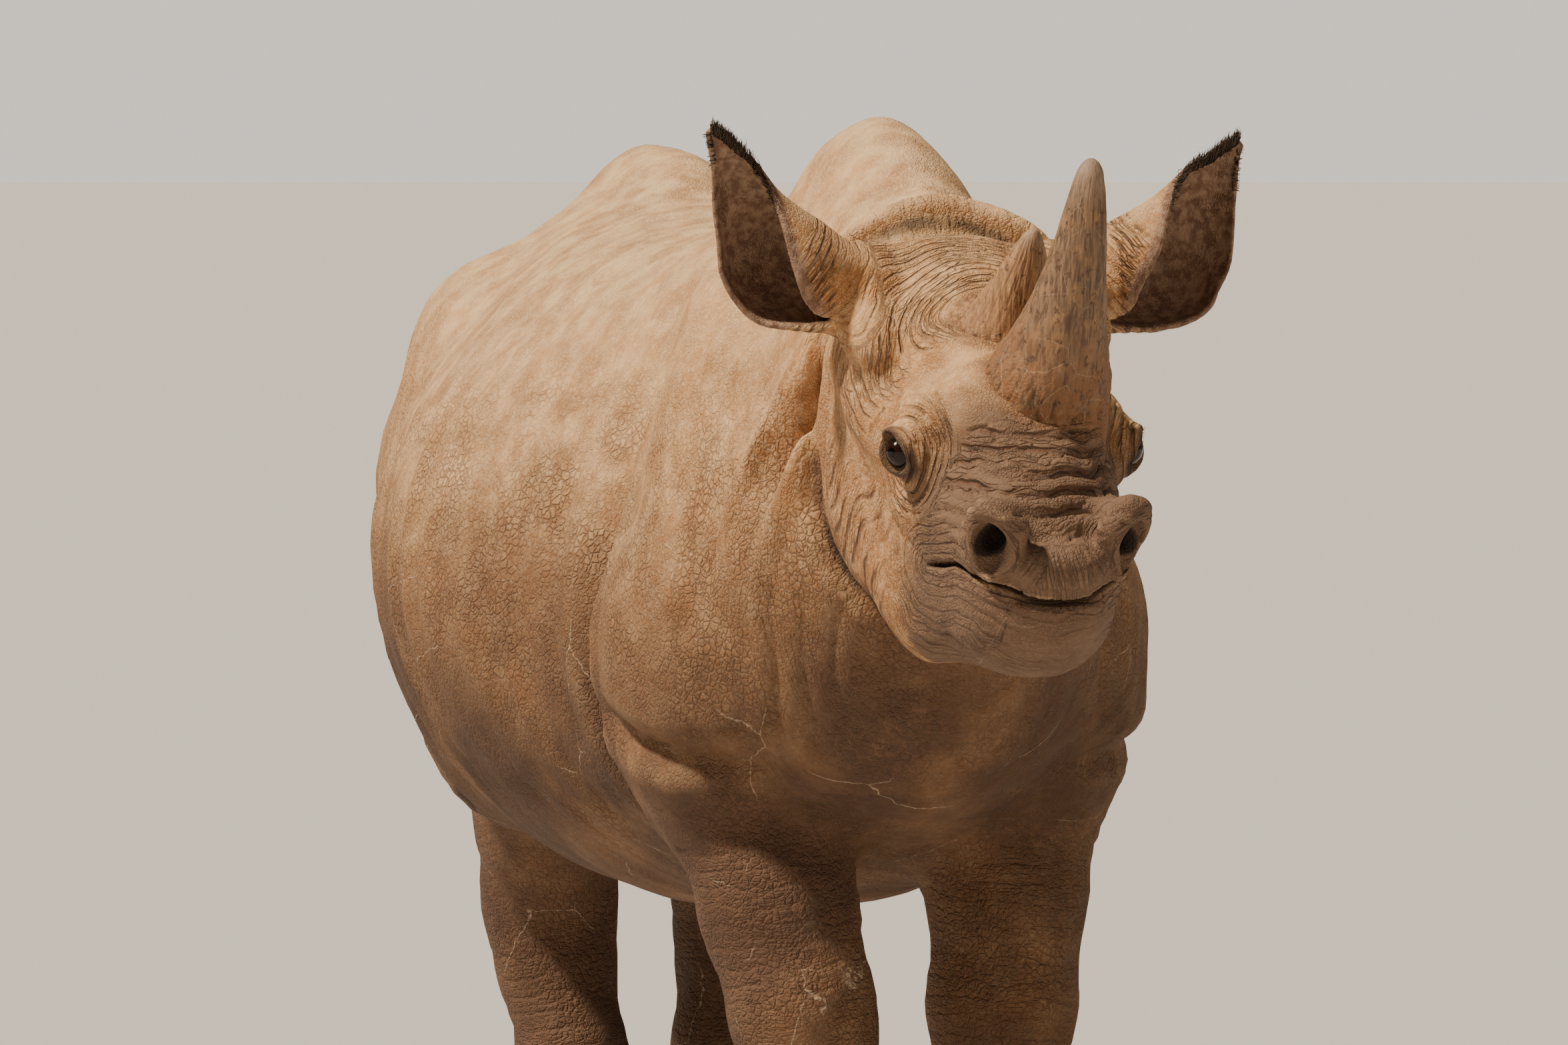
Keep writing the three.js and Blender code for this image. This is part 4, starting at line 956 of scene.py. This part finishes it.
def skin():
    """One skin over the whole animal: the mesh, its wrinkles, and what the hide's material reads of them."""
    bare, triangles = skin_mesh()
    q = into_head(bare)
    normals = normals_of(bare, triangles)
    height, fold, folded_by, fine, fine_by = relief(bare, q)
    eye, nose = nearest(EYE, q), nearest(NOSTRIL, q)
    leaf, inner = ear_layers(q, normals)
    rim, hole, boss = face_layers(bare, q, eye)
    height *= np.clip((eye - 31) / 6, 0.1, 1) * np.clip((nose - 34) / 16, 0.1, 1)
    height *= (1 - 0.9 * leaf) * np.clip(bare[2] / 60, 0, 1)
    p = bare + normals * height
    normals = normals_of(p, triangles)
    x, z = p[0], p[2]
    on_head = window(x, 1010, 3000, 50)
    layers = {
        "fold": fold, "folded_by": folded_by * (1 - inner), "fine": fine, "fine_by": fine_by * (1 - inner),
        # how hollow the skin is drives painted shade in hollows and a painted highlight on ridges; the
        # creases are painted shade in deep folds and where head meets neck
        "deep": hollows(p, triangles, normals), "inner": inner, "crease_shade": creases(bare) * (1 - leaf),
        # the hole mask is painted shade in the nostrils and along the mouth's groove
        "muzzle": window(q[0], 440, 800, 110) * (x > 1200), "rim": rim, "hole": hole, "boss": boss,
        "pebbled": (1 - 0.7 * on_head) * (1 - inner) * (1 - 0.7 * window(z, 1330, 2000, 200)),
        # darker towards the ground, less on the head: partly painted shade, partly less dust
        "low": window(z, -100, 800, 480) * (1 - 0.75 * on_head),
        # pale on faces that look up, high on the body and less on the head: partly dust, partly painted light
        # from above
        "dust_and_top_light": (np.clip(normals[2] * 1.2, 0, 1) * window(z, 1180, 3000, 260) * (1 - inner)
                   * (1 - 0.6 * window(x, 1000, 3000, 60))),
    }
    nodes = ("torso", "neck", "head", "tail", "ear_left", "ear_right", *[f"leg_{n}" for n in STANCE])
    mesh_piece("skin", p, triangles, "hide", hide_material(), *nodes, **layers)


# ---------------------------------------------------------------- horns, eyes, hooves

# Horns in the head frame: foot, then rings up to the tip: height, shift down the face, shift left,
# half-length, half-width.
FRONT_HORN = ((358, 28, 66), np.array([
    (-14, 0, 0, 80, 78), (0, 0, 0, 80, 78), (22, 0, 1, 80, 76), (50, 0, 4, 72, 67), (84, -2, 8, 61, 57),
    (124, -8, 13, 50, 47), (167, -18, 18, 41, 38), (210, -31, 23, 33, 31), (250, -45, 27, 25, 24),
    (277, -55, 29, 19, 18), (286, -58, 30, 15.5, 15), (293, -62, 31, 10, 10), (296.5, -63, 31.5, 5, 5),
], float))
REAR_HORN = ((212, 13, 52), np.array([
    (-14, 0, 0, 66, 70), (0, 0, 0, 66, 70), (20, 1, 0, 57, 61), (52, 1, 3, 44, 46), (88, 0, 7, 31, 34),
    (122, -3, 12, 20, 22), (145, -5, 14, 12, 12), (153, -6, 15, 6, 6), (155, -6, 15, 3, 3),
], float))


def grid_faces(rows, around):
    """Quads of a grid of rings that close on themselves."""
    r, n = np.meshgrid(np.arange(rows - 1), np.arange(around), indexing="ij")
    a, b = r * around + n, r * around + (n + 1) % around
    return np.stack([a, b, b + around, a + around], -1).reshape(-1, 4)


def turned_rows(rows, around):
    """Grids of the rows' values and of the angles round, one ring to a row."""
    return np.meshgrid(rows, np.linspace(0, 2 * np.pi, around, endpoint=False), indexing="ij")


def tipped(rings, faces):
    """Rings of one grid as points, each end closed by quads folded over the middle of its ring."""
    rows, around, _ = rings.shape
    half = np.arange(around // 2 - 1)
    end = np.stack([half + 1, half, around - 1 - half, around - 2 - half], -1)
    return rings.reshape(-1, 3).T, np.concatenate([faces, end, end[:, ::-1] + (rows - 1) * around])


def horn_piece(name, shape, seed, crust, look, rows=150, around=160):
    """Rings swept up the horn: radius times 1 plus fibres that run up it and lumps, both stronger at the foot
    by crust, and worn smooth towards the tip."""
    foot, table = shape
    height = table[0, 0] + (table[-1, 0] - table[0, 0]) * np.linspace(0, 1, rows) ** 0.9
    _, back, left, long, wide = through(table, height).T
    up, turn = turned_rows(height, around)
    flat = np.array([60 * np.cos(turn), 60 * np.sin(turn), up * 0.16]).reshape(3, -1)
    fibre = (wobble(flat, 9, seed) + 0.7 * wobble(flat * 1.9, 9, seed + 1)).reshape(up.shape)
    lumps = np.array([40 * np.cos(turn), 40 * np.sin(turn), up]).reshape(3, -1)
    lumps = wobble(lumps, 40, seed + 2).reshape(up.shape)
    low = crust * np.exp(-np.maximum(up, 0) / 30)
    grow = (0.5 + 2.4 * low) * fibre + (0.5 + 2.0 * low) * lumps + 1.5 * low
    grow *= np.clip((height[-1] - up) / 30, 0.05, 1)
    q = np.stack([foot[0] + back[:, None] + (long[:, None] + grow) * np.cos(turn),
                  foot[1] + left[:, None] + (wide[:, None] + grow) * np.sin(turn), foot[2] + up], -1)
    points, faces = tipped(q, grid_faces(rows, around))
    layers = {"up": (up / height[-1]).ravel(), "fibre": fibre.ravel()}
    mesh_piece(name, out_of_head(points), faces, "horn", look, name, **layers)


def eye_piece(side, look, rows=40, around=64):
    """A ball of the eyeball's radius, its cornea 1.6 mm proud where it faces; rings about that way."""
    sign = 1 if side == "left" else -1
    polar, turn = turned_rows(np.linspace(0.02, np.pi - 0.02, rows), around)
    reach = EYE_RADIUS - 0.3 + 1.6 * np.exp(-((polar / 0.55) ** 4))
    local = np.stack([reach * np.sin(polar) * np.cos(turn), reach * np.sin(polar) * np.sin(turn),
                      reach * np.cos(polar)], -1)
    at, axes = feature_axes(EYE, sign)
    axes[1] *= sign  # unmirrored, so that both balls face outwards
    points, faces = tipped(local @ axes + at, grid_faces(rows, around)[:, ::-1])
    mesh_piece(f"eye_{side}", out_of_head(points), faces, "eye", look, f"eye_{side}", polar=polar.ravel())


HOOVES = ((-65, 34, 50), (0, 44, 60), (65, 34, 50))  # turn from straight ahead, width and height of each
HOOF_DEPTH, HOOF_SQUARE = 27, 2.5  # half-depth from front to back, and the power that squares the oval


def hoof_piece(name, foot, toe, look, rows=26, around=48):
    """Ovals |x/a|^2.5 + |y/b|^2.5 = 1 under a round top, with a bevel on the ground and growth rings."""
    turn, wide, high = toe
    up, angle = turned_rows(np.linspace(0, 1, rows), around)
    z = high * (1.28 * up) + 0.3
    lift = np.clip((z - high * 0.3) / high, -0.3, 0.985)
    size = np.sqrt(1 - lift**2) * np.clip(0.955 + z / 60, 0.955, 1)
    c, s = np.cos(angle), np.sin(angle)
    oval = (np.abs(c) ** HOOF_SQUARE + np.abs(s) ** HOOF_SQUARE) ** (-1 / HOOF_SQUARE)
    size = size * (1 + 0.006 * np.sin(z * 0.9))
    x, y = HOOF_DEPTH * size * oval * c, wide * size * oval * s
    a = math.radians(turn)
    at = np.array(foot) + (FOOT * math.cos(a), FOOT * math.sin(a))
    rings = np.stack([at[0] + x * math.cos(a) - y * math.sin(a),
                      at[1] + x * math.sin(a) + y * math.cos(a), z], -1)
    points, faces = tipped(rings, grid_faces(rows, around))
    mesh_piece(name, points, faces, "nail", look, name, up=up.ravel())


# ---------------------------------------------------------------- hair


PATCH = 0.003  # side of a blade's patch of the UV map
EAR_HAIRS, LASHES, TAIL_HAIRS = 900, 26, 620


def locks(name, roots, tips, wide, thick, bend, uv, look, steps=6):
    """Tapered blades from root to tip: at t the middle is a line bowed by 4 t (1 - t) bend, and the width
    falls as (1 - t^2)^0.7; each is a closed flat diamond in section, with a small patch of the UV map."""
    count = roots.shape[1]
    t = np.linspace(0, 1, steps)[:, None, None]
    run = tips - roots
    middle = roots + run * t + bend * t * (1 - t) * 4
    along = unit_all(run)
    across = unit_all(np.cross(along, bend + rng.normal(0, 1e-3, bend.shape), axis=0))
    flat = np.cross(along, across, axis=0)
    size = np.maximum((1 - t**2) ** 0.7, 0.06)
    corner = [across * wide, flat * thick, -across * wide, -flat * thick]
    rings = np.stack([middle + size * side for side in corner], 2)  # steps, 3, corners, count
    points = rings.transpose(1, 3, 0, 2).reshape(3, -1)
    faces = grid_faces(steps, 4)
    ends = np.array([(3, 2, 1, 0), tuple(np.arange(4) + (steps - 1) * 4)])
    faces = np.concatenate([faces, ends])
    faces = (faces[None] + (np.arange(count) * steps * 4)[:, None, None]).reshape(-1, 4)
    patch = np.stack(np.meshgrid(np.linspace(0, PATCH, steps), np.linspace(0, PATCH, 4), indexing="ij"), -1)
    uv = (uv.T[:, None] + patch.reshape(1, -1, 2)).reshape(-1, 2)
    shade = np.repeat(rng.random(count), steps * 4)
    length = np.tile(np.repeat(np.linspace(0, 1, steps), 4), count)
    mesh_piece(name, points, faces, "hide", look, uv=uv, shade=shade, length=length)


def ear_hair(side, look):
    """Short dense hair on the inner rim of the ear near its tip, and a few shorter ones outside."""
    root, length, a, o, s = ear_frame(side)

    def rim(share, turn, more=0.0):
        shift, radius, inner, outer = ear_section(side, share)
        angle = np.where(turn < 0, inner, outer) * turn
        out = shift + (radius + more) * np.sin(angle)
        ahead = 0.3 * radius - (radius + more) * np.cos(angle)
        return root[:, None] + a[:, None] * share * length + s[:, None] * out + o[:, None] * ahead

    count = EAR_HAIRS
    share = 0.57 + 0.43 * rng.random(count) ** 0.8
    turn = np.where(rng.random(count) < 0.93, -1.0, 1.0) * (1 - 0.06 * rng.random(count))
    share = np.where(turn > 0, 0.86 + 0.14 * rng.random(count), share)
    start = rim(share, turn, -2 + 1.5 * rng.normal(size=count))
    off = unit_all(rim(share, turn) - rim(share, turn * 0.75))
    long = np.where(turn < 0, 20 * np.clip((share - 0.55) * 6, 0.35, 1), 7.0) * rng.uniform(0.6, 1.15, count)
    way = unit_all(off + a[:, None] * 0.9 + rng.normal(0, 0.16, (3, count)))
    bend = rng.normal(0, 1, (3, count)) * 2
    uv = np.array([0.05 + 0.9 * share, 0.5 + 0.4 * turn])
    starts, ends = out_of_head(start - way * 3), out_of_head(start + way * long)
    locks(f"ear_hair_{side}", starts, ends, 0.8, 0.4, HEAD_AXES @ bend, uv, look, 5)


def lashes(look):
    """A row of lashes on the upper lid of each eye, curving outwards and down."""
    starts, ends, uv = [], [], []
    for n, sign in enumerate((1, -1)):
        t = np.linspace(-0.85, 0.85, LASHES) + rng.normal(0, 0.02, LASHES)
        a, b = t * LID_ANGLES[0], (SLANT * t - np.sqrt(1 - t * t) / UPPER_LID) * LID_ANGLES[1]
        way = np.array([np.sin(a), np.sin(b), np.cos(a) * np.cos(b)])
        at, axes = feature_axes(EYE, sign)
        stray = rng.normal(0, 1, (3, LASHES))
        starts.append(at[:, None] + axes.T @ (way * (LID_RADIUS - 2)))
        ends.append(at[:, None] + axes.T @ (way * (LID_RADIUS + 5) + np.array([[0], [0], [2]]) + stray))
        uv.append(np.array([0.3 + 0.4 * n + 0.05 * t, 0 * t + 0.3]))
    starts, ends, uv = (np.concatenate(part, 1) for part in (starts, ends, uv))
    bend = HEAD_AXES @ (np.array([[0], [0], [-2.0]]) + np.zeros_like(starts))
    locks("lashes", out_of_head(starts), out_of_head(ends), 0.45, 0.3, bend, uv, look)


def tail_tuft(look):
    """Coarse hair down both edges of the tail's end and below its tip, hanging down."""
    count = TAIL_HAIRS
    where = rng.random(count) ** 0.7 * 2.6 + 4.4  # in joints down the tail
    x, y, z, radius = (np.interp(where, np.arange(len(TAIL)), c) for c in np.array(TAIL, float).T)
    side = np.where(rng.random(count) < 0.5, 0.0, np.pi) + rng.normal(0, 0.8, count)
    out = np.array([np.cos(side), np.sin(side), np.zeros(count)])
    starts = np.array([x, y, z]) + out * radius * 0.8
    long = rng.uniform(70, 165, count) * np.clip((where - 3.6) / 2.4, 0.4, 1)
    ends = starts + out * rng.uniform(2, 22, count) + np.array([[0], [0], [-1.0]]) * long
    bend = out * rng.uniform(2, 10, count)
    uv = np.array([0.1 + 0.1 * where, 0.2 + 0.09 * side])
    locks("tail_tuft", starts, ends, 2.2, 0.9, bend, uv, look, 7)


# ---------------------------------------------------------------- materials


SCAR, SCAR_RADIUS = (0.955, -0.2, 1.38), 0.016  # in metres


def hide_material():
    """Dry hide under dust: grey-brown skin and painted shade in folds, tan dust and a painted highlight on
    what stands out, cracked all over.
    """
    m = Material("dusty_hide", Roughness=0.82)
    deep, low, inner, pebbled = m.read("deep"), m.read("low"), m.read("inner"), m.read("pebbled")
    where = m.where()
    stir = m.add("ShaderNodeTexNoise", 1, Vector=where, Scale=55.0)
    drift = m.plus(stir, (0.012,) * 3, where, "ShaderNodeVectorMath")

    # folds: lines along whole numbers of the fold's phase, stirred and broken by noise
    fold = m.plus(m.noise(42, detail=2.0), 0.5, m.read("fold"))
    valley = m.between(m.math("PINGPONG", fold, 0.5), 0.02, 0.2, 1.0, 0.0)
    valley = m.times(valley, m.times(m.read("folded_by"), m.patches(70, 0.36, 0.52, 0.15, 1.0, detail=1.0)))

    # fine lines: cells drawn out along the folds
    lift = m.add("ShaderNodeCombineXYZ", X=m.times(m.read("fine"), 0.3), Z=m.read("fine"))
    cells = m.plus(drift, (34.0,) * 3, lift, "ShaderNodeVectorMath")
    lines = m.times(m.cracks(1000, 0.0, 0.16, at=cells),
                    m.times(m.read("fine_by"), m.patches(50, 0.32, 0.6, 0.15, 0.9, detail=2.0)))

    # pebbles: cells 11 mm and 5 mm across
    plates = m.times(pebbled, m.patches(110, 0.35, 0.6, 0.35, detail=2.0))
    plates = m.times(m.cracks(11, 0.0, 0.2, at=drift), plates)
    small = m.times(m.cracks(5, 0.0, 0.24, at=drift), m.patches(60, 0.35, 0.6, 0.3, detail=1.0))

    # colours: dust in two tans and a pale one, orange stains, bare brown skin where it is worn, and as
    # painted shade where it is hollow
    broad, middling = m.noise(330), m.noise(48, detail=4.0, rough=0.62)
    stains = m.patches(95, 0.53, 0.7, 0.0, 0.45, at=m.where(offset=(3, 1, 2)))
    tan = m.mix(m.between(broad, 0.38, 0.62), linear("C38C57"), linear("AD7745"))
    for by, code in (
        (m.between(middling, 0.42, 0.7, 0.0, 0.7), "DDB080"),
        (m.times(m.patches(7, 0.45, 0.72, detail=2.0, rough=0.7), 0.5), "E8C9A2"),
        (stains, "B87842"),
        # darker towards the ground: partly painted shade, partly less dust
        (m.times(low, m.between(broad, 0.3, 0.6, 0.65, 0.96)), "4A3120"),
        # paler on faces that look up, high on the body: partly dust, partly painted light from above
        (m.times(m.read("dust_and_top_light"), m.between(middling, 0.3, 0.65, 0.3, 0.9)), "ECC898"),
        (m.times(m.read("muzzle"), 0.9), "6C5443"),
        (m.times(m.read("boss"), m.patches(9, 0.3, 0.6, 0.4)), "966C48"),
    ):
        tan = m.mix(by, tan, linear(code))
    bare = m.mix(m.between(middling, 0.3, 0.7), linear("5A3B29"), linear("7A563D"))

    # scratches along the edges of wide cells, a healed scar, and on what stands out a pale tone that is
    # partly dust and partly painted highlight
    scratch = m.times(m.cracks(240, 0.0, 0.005, 0.4, at=drift),
                      m.times(pebbled, m.patches(130, 0.52, 0.6, detail=1.0)))
    far = m.add("ShaderNodeVectorMath", 1, {"operation": "DISTANCE"}, i0=drift, i1=SCAR)
    tan = m.mix(scratch, tan, linear("EFD8BA"))
    tan = m.mix(m.between(far, SCAR_RADIUS * 0.4, SCAR_RADIUS, 0.8, 0.0), tan, linear("9C938C"))
    tan = m.mix(m.between(deep, -0.25, -1.3, 0.0, 0.45), tan, linear("E6BE92"))

    # worn to the bare skin in the cracks, and brown painted shade in hollows; near black for painted shade in
    # the deepest hollows, the creases, the nostrils and the mouth's groove, and on the dark rims of the lids
    crack = m.most(m.most(m.most(m.times(lines, 0.7), m.times(plates, 0.6)), m.times(valley, 0.95)),
                   m.times(small, 0.28))
    colour = m.mix(m.most(m.between(deep, 0.2, 1.3, 0.0, 0.9), crack), tan, bare)
    crease_shade = m.between(m.read("crease_shade"), 0.2, 0.95, 0.0, 0.85)
    dark = m.times(crease_shade, m.patches(60, 0.3, 0.55, 0.55, detail=1.0))
    dark = m.most(m.between(deep, 0.8, 2.6, 0.0, 0.85), dark)
    dark = m.most(dark, m.most(m.times(m.read("rim"), 0.8), m.read("hole")))
    colour = m.mix(dark, colour, linear("2A1A12"))
    m.set("Base Color", m.mix(m.times(inner, 0.92), colour, m.toned(14, 0.35, 0.65, "6E5040", "9C7F69")))

    ups = m.plus(valley, -1.0, m.times(lines, -0.5))
    ups = m.plus(plates, -0.3, ups)
    ups = m.plus(m.noise(2.4, detail=1.0), 0.12, ups)  # grit
    m.bump(m.plus(small, -0.14, ups), 0.0065, 1.0)
    return m.material


def horn_material(name, dark, light, dusty):
    """Worn keratin: fibres between dark and light up the horn, and brown dirt by dusty near its foot."""
    m = Material(name, Roughness=0.62)
    up, fibre = m.read("up"), m.read("fibre")
    streak = m.noise(4.5, at=m.where((1, 1, 0.1)), detail=5.0, rough=0.65)
    base = m.mix(m.between(streak, 0.36, 0.64), linear(dark), linear(light))
    for by, code in (
        (m.patches(26, 0.48, 0.66, 0.0, 0.8, detail=6.0), "A07A55"),
        (m.times(m.between(up, 0.02, 0.5, dusty, 0.1), m.patches(17, 0.34, 0.58, 0.2, detail=6.0)), "8C5F3B"),
        (m.times(m.patches(11, 0.56, 0.66, detail=5.0, rough=0.65), 0.8), "4A3020"),
        (m.times(m.cracks(60, 0.0, 0.012, 0.35), m.patches(40, 0.45, 0.6)), "C9AE8E"),
        (m.times(m.between(up, 0.8, 1.0), 0.45), "B89F86"),
        (m.between(fibre, -0.4, -1.5, 0.0, 0.6), "4A3022"),
    ):
        base = m.mix(by, base, linear(code))
    m.set("Base Color", base)
    coarse = m.times(m.noise(4, detail=4.0), m.between(up, 0.0, 0.3, 2.2, 0.3))
    m.bump(m.plus(streak, 0.9, coarse), 0.0018, 0.9)
    return m.material


def eye_material():
    """A wet dark brown iris about a black pupil, under one small clear shine."""
    m = Material("wet_eye", Roughness=0.16, IOR=1.376)
    polar = m.read("polar")
    white = m.mix(m.between(polar, 0.6, 0.75), m.toned(2.2, 0.35, 0.65, "170C06", "2C180C"), linear("1E1410"))
    m.set("Base Color", m.mix(m.between(polar, 0.24, 0.3), linear("030201"), white))
    return m.material


def hoof_material():
    """Dusty nail: grey-brown with growth lines across and patches of dust."""
    m = Material("dusty_nail", Roughness=0.7)
    bands = m.noise(4, at=m.where((0.1, 0.1, 1)))
    base = m.mix(m.between(bands, 0.35, 0.65), linear("57473A"), linear("77624F"))
    m.set("Base Color", m.mix(m.patches(18, 0.45, 0.65, detail=4.0), base, linear("9A7A59")))
    m.bump(bands, 0.001, 0.7)
    return m.material


def hair_material(name, dark, light):
    """Coarse hair, each lock its own shade between dark and light, a little paler at its tip."""
    m = Material(name, Roughness=0.6)
    tone = m.plus(m.read("length"), 0.35, m.times(m.read("shade"), 0.65))
    m.set("Base Color", m.mix(tone, linear(dark), linear(light)))
    return m.material


skin()
eye_look, nail_look = eye_material(), hoof_material()
horn_piece("horn_front", FRONT_HORN, 31, 1.0, horn_material("worn_horn", "5C4635", "8F7257", 1.0))
horn_piece("horn_rear", REAR_HORN, 47, 0.3, horn_material("dusty_horn", "8A6445", "BF9367", 0.5))
dark_hair = hair_material("dark_hair", "241811", "53402F")
for side in ("left", "right"):
    eye_piece(side, eye_look)
    ear_hair(side, dark_hair)
lashes(dark_hair)
tail_tuft(dark_hair)
for name, (_, joints) in LEGS.items():
    for number, toe in enumerate(HOOVES, 1):
        hoof_piece(f"hoof_{name}_{number}", joints[-1, :2] + (0, 0), toe, nail_look)


# ---------------------------------------------------------------- floor, light, camera


def ground():
    """A wide matt floor of pale grey board."""
    bpy.ops.mesh.primitive_circle_add(vertices=96, radius=90, fill_type="NGON")
    floor = bpy.context.object
    floor.name = "floor"
    m = Material("floor", Roughness=0.9)
    m.shader.inputs["Base Color"].default_value = linear("CFCECC")
    floor.data.materials.append(m.material)


def stood_at(name, data, away, at=(0, 0, 0)):
    """A light or camera at that place, with its back turned the way away points."""
    holder = bpy.data.objects.new(name, data)
    holder.location = at
    holder.rotation_euler = Vector(away).to_track_quat("Z", "Y").to_euler()
    bpy.context.scene.collection.objects.link(holder)
    return holder


def key_light(away, strength, spread):
    """One broad soft light from far off, alike over the whole floor; spread is its width in degrees."""
    light = bpy.data.lights.new("key", "SUN")
    light.energy, light.angle, light.color = strength, math.radians(spread), linear("FFF0DA")[:3]
    stood_at("key", light, away)


def softbox(name, at, aim, size, power, colour):
    """A round soft light at a place, turned to its aim."""
    light = bpy.data.lights.new(name, "AREA")
    light.shape, light.size, light.energy, light.color = "DISK", size, power, linear(colour)[:3]
    stood_at(name, light, Vector(at) - Vector(aim), at)


MIDDLE, ROUND, UP, AWAY = Vector((1.38, 0, 1.26)), math.radians(77), math.radians(2), 16
LENS, SENSOR, CLIP = 290.8, 36, 300
ASIDE = (0.298, 0.143)  # how far left of and below that middle the camera looks


def camera():
    """A long lens, round towards the head and a little up."""
    back = Vector((math.sin(ROUND) * math.cos(UP), -math.cos(ROUND) * math.cos(UP), math.sin(UP)))
    right = Vector((math.cos(ROUND), math.sin(ROUND), 0))
    aim = MIDDLE - right * ASIDE[0] - back.cross(right) * ASIDE[1]
    eye = bpy.data.cameras.new("camera")
    eye.lens, eye.sensor_width, eye.clip_end = LENS, SENSOR, CLIP
    at = MIDDLE + back * AWAY
    bpy.context.scene.camera = stood_at("camera", eye, at - aim, at)


SKY_LIGHT, SKY_SEEN = 0.14, 1.09  # the sky's strength as a light, and as the camera sees it


def sky():
    """A pale backdrop for the camera, and a dimmer one as the light that fills the shade."""
    world = bpy.data.worlds.new("studio")
    world.use_nodes = True
    tree, back = world.node_tree, world.node_tree.nodes["Background"]
    back.inputs["Color"].default_value = linear("F3E8DC")
    seen = tree.nodes.new("ShaderNodeLightPath")
    strength = tree.nodes.new("ShaderNodeMapRange")
    strength.inputs["To Min"].default_value, strength.inputs["To Max"].default_value = SKY_LIGHT, SKY_SEEN
    tree.links.new(seen.outputs["Is Camera Ray"], strength.inputs["Value"])
    tree.links.new(strength.outputs["Result"], back.inputs["Strength"])
    bpy.context.scene.world = world


ground()
sky()
camera()
key_light((0.02, -0.56, 0.83), 5.6, 6)
softbox("fill", (9, 2, 2.4), (1.2, 0, 1.0), 3.0, 60, "FFF3E4")
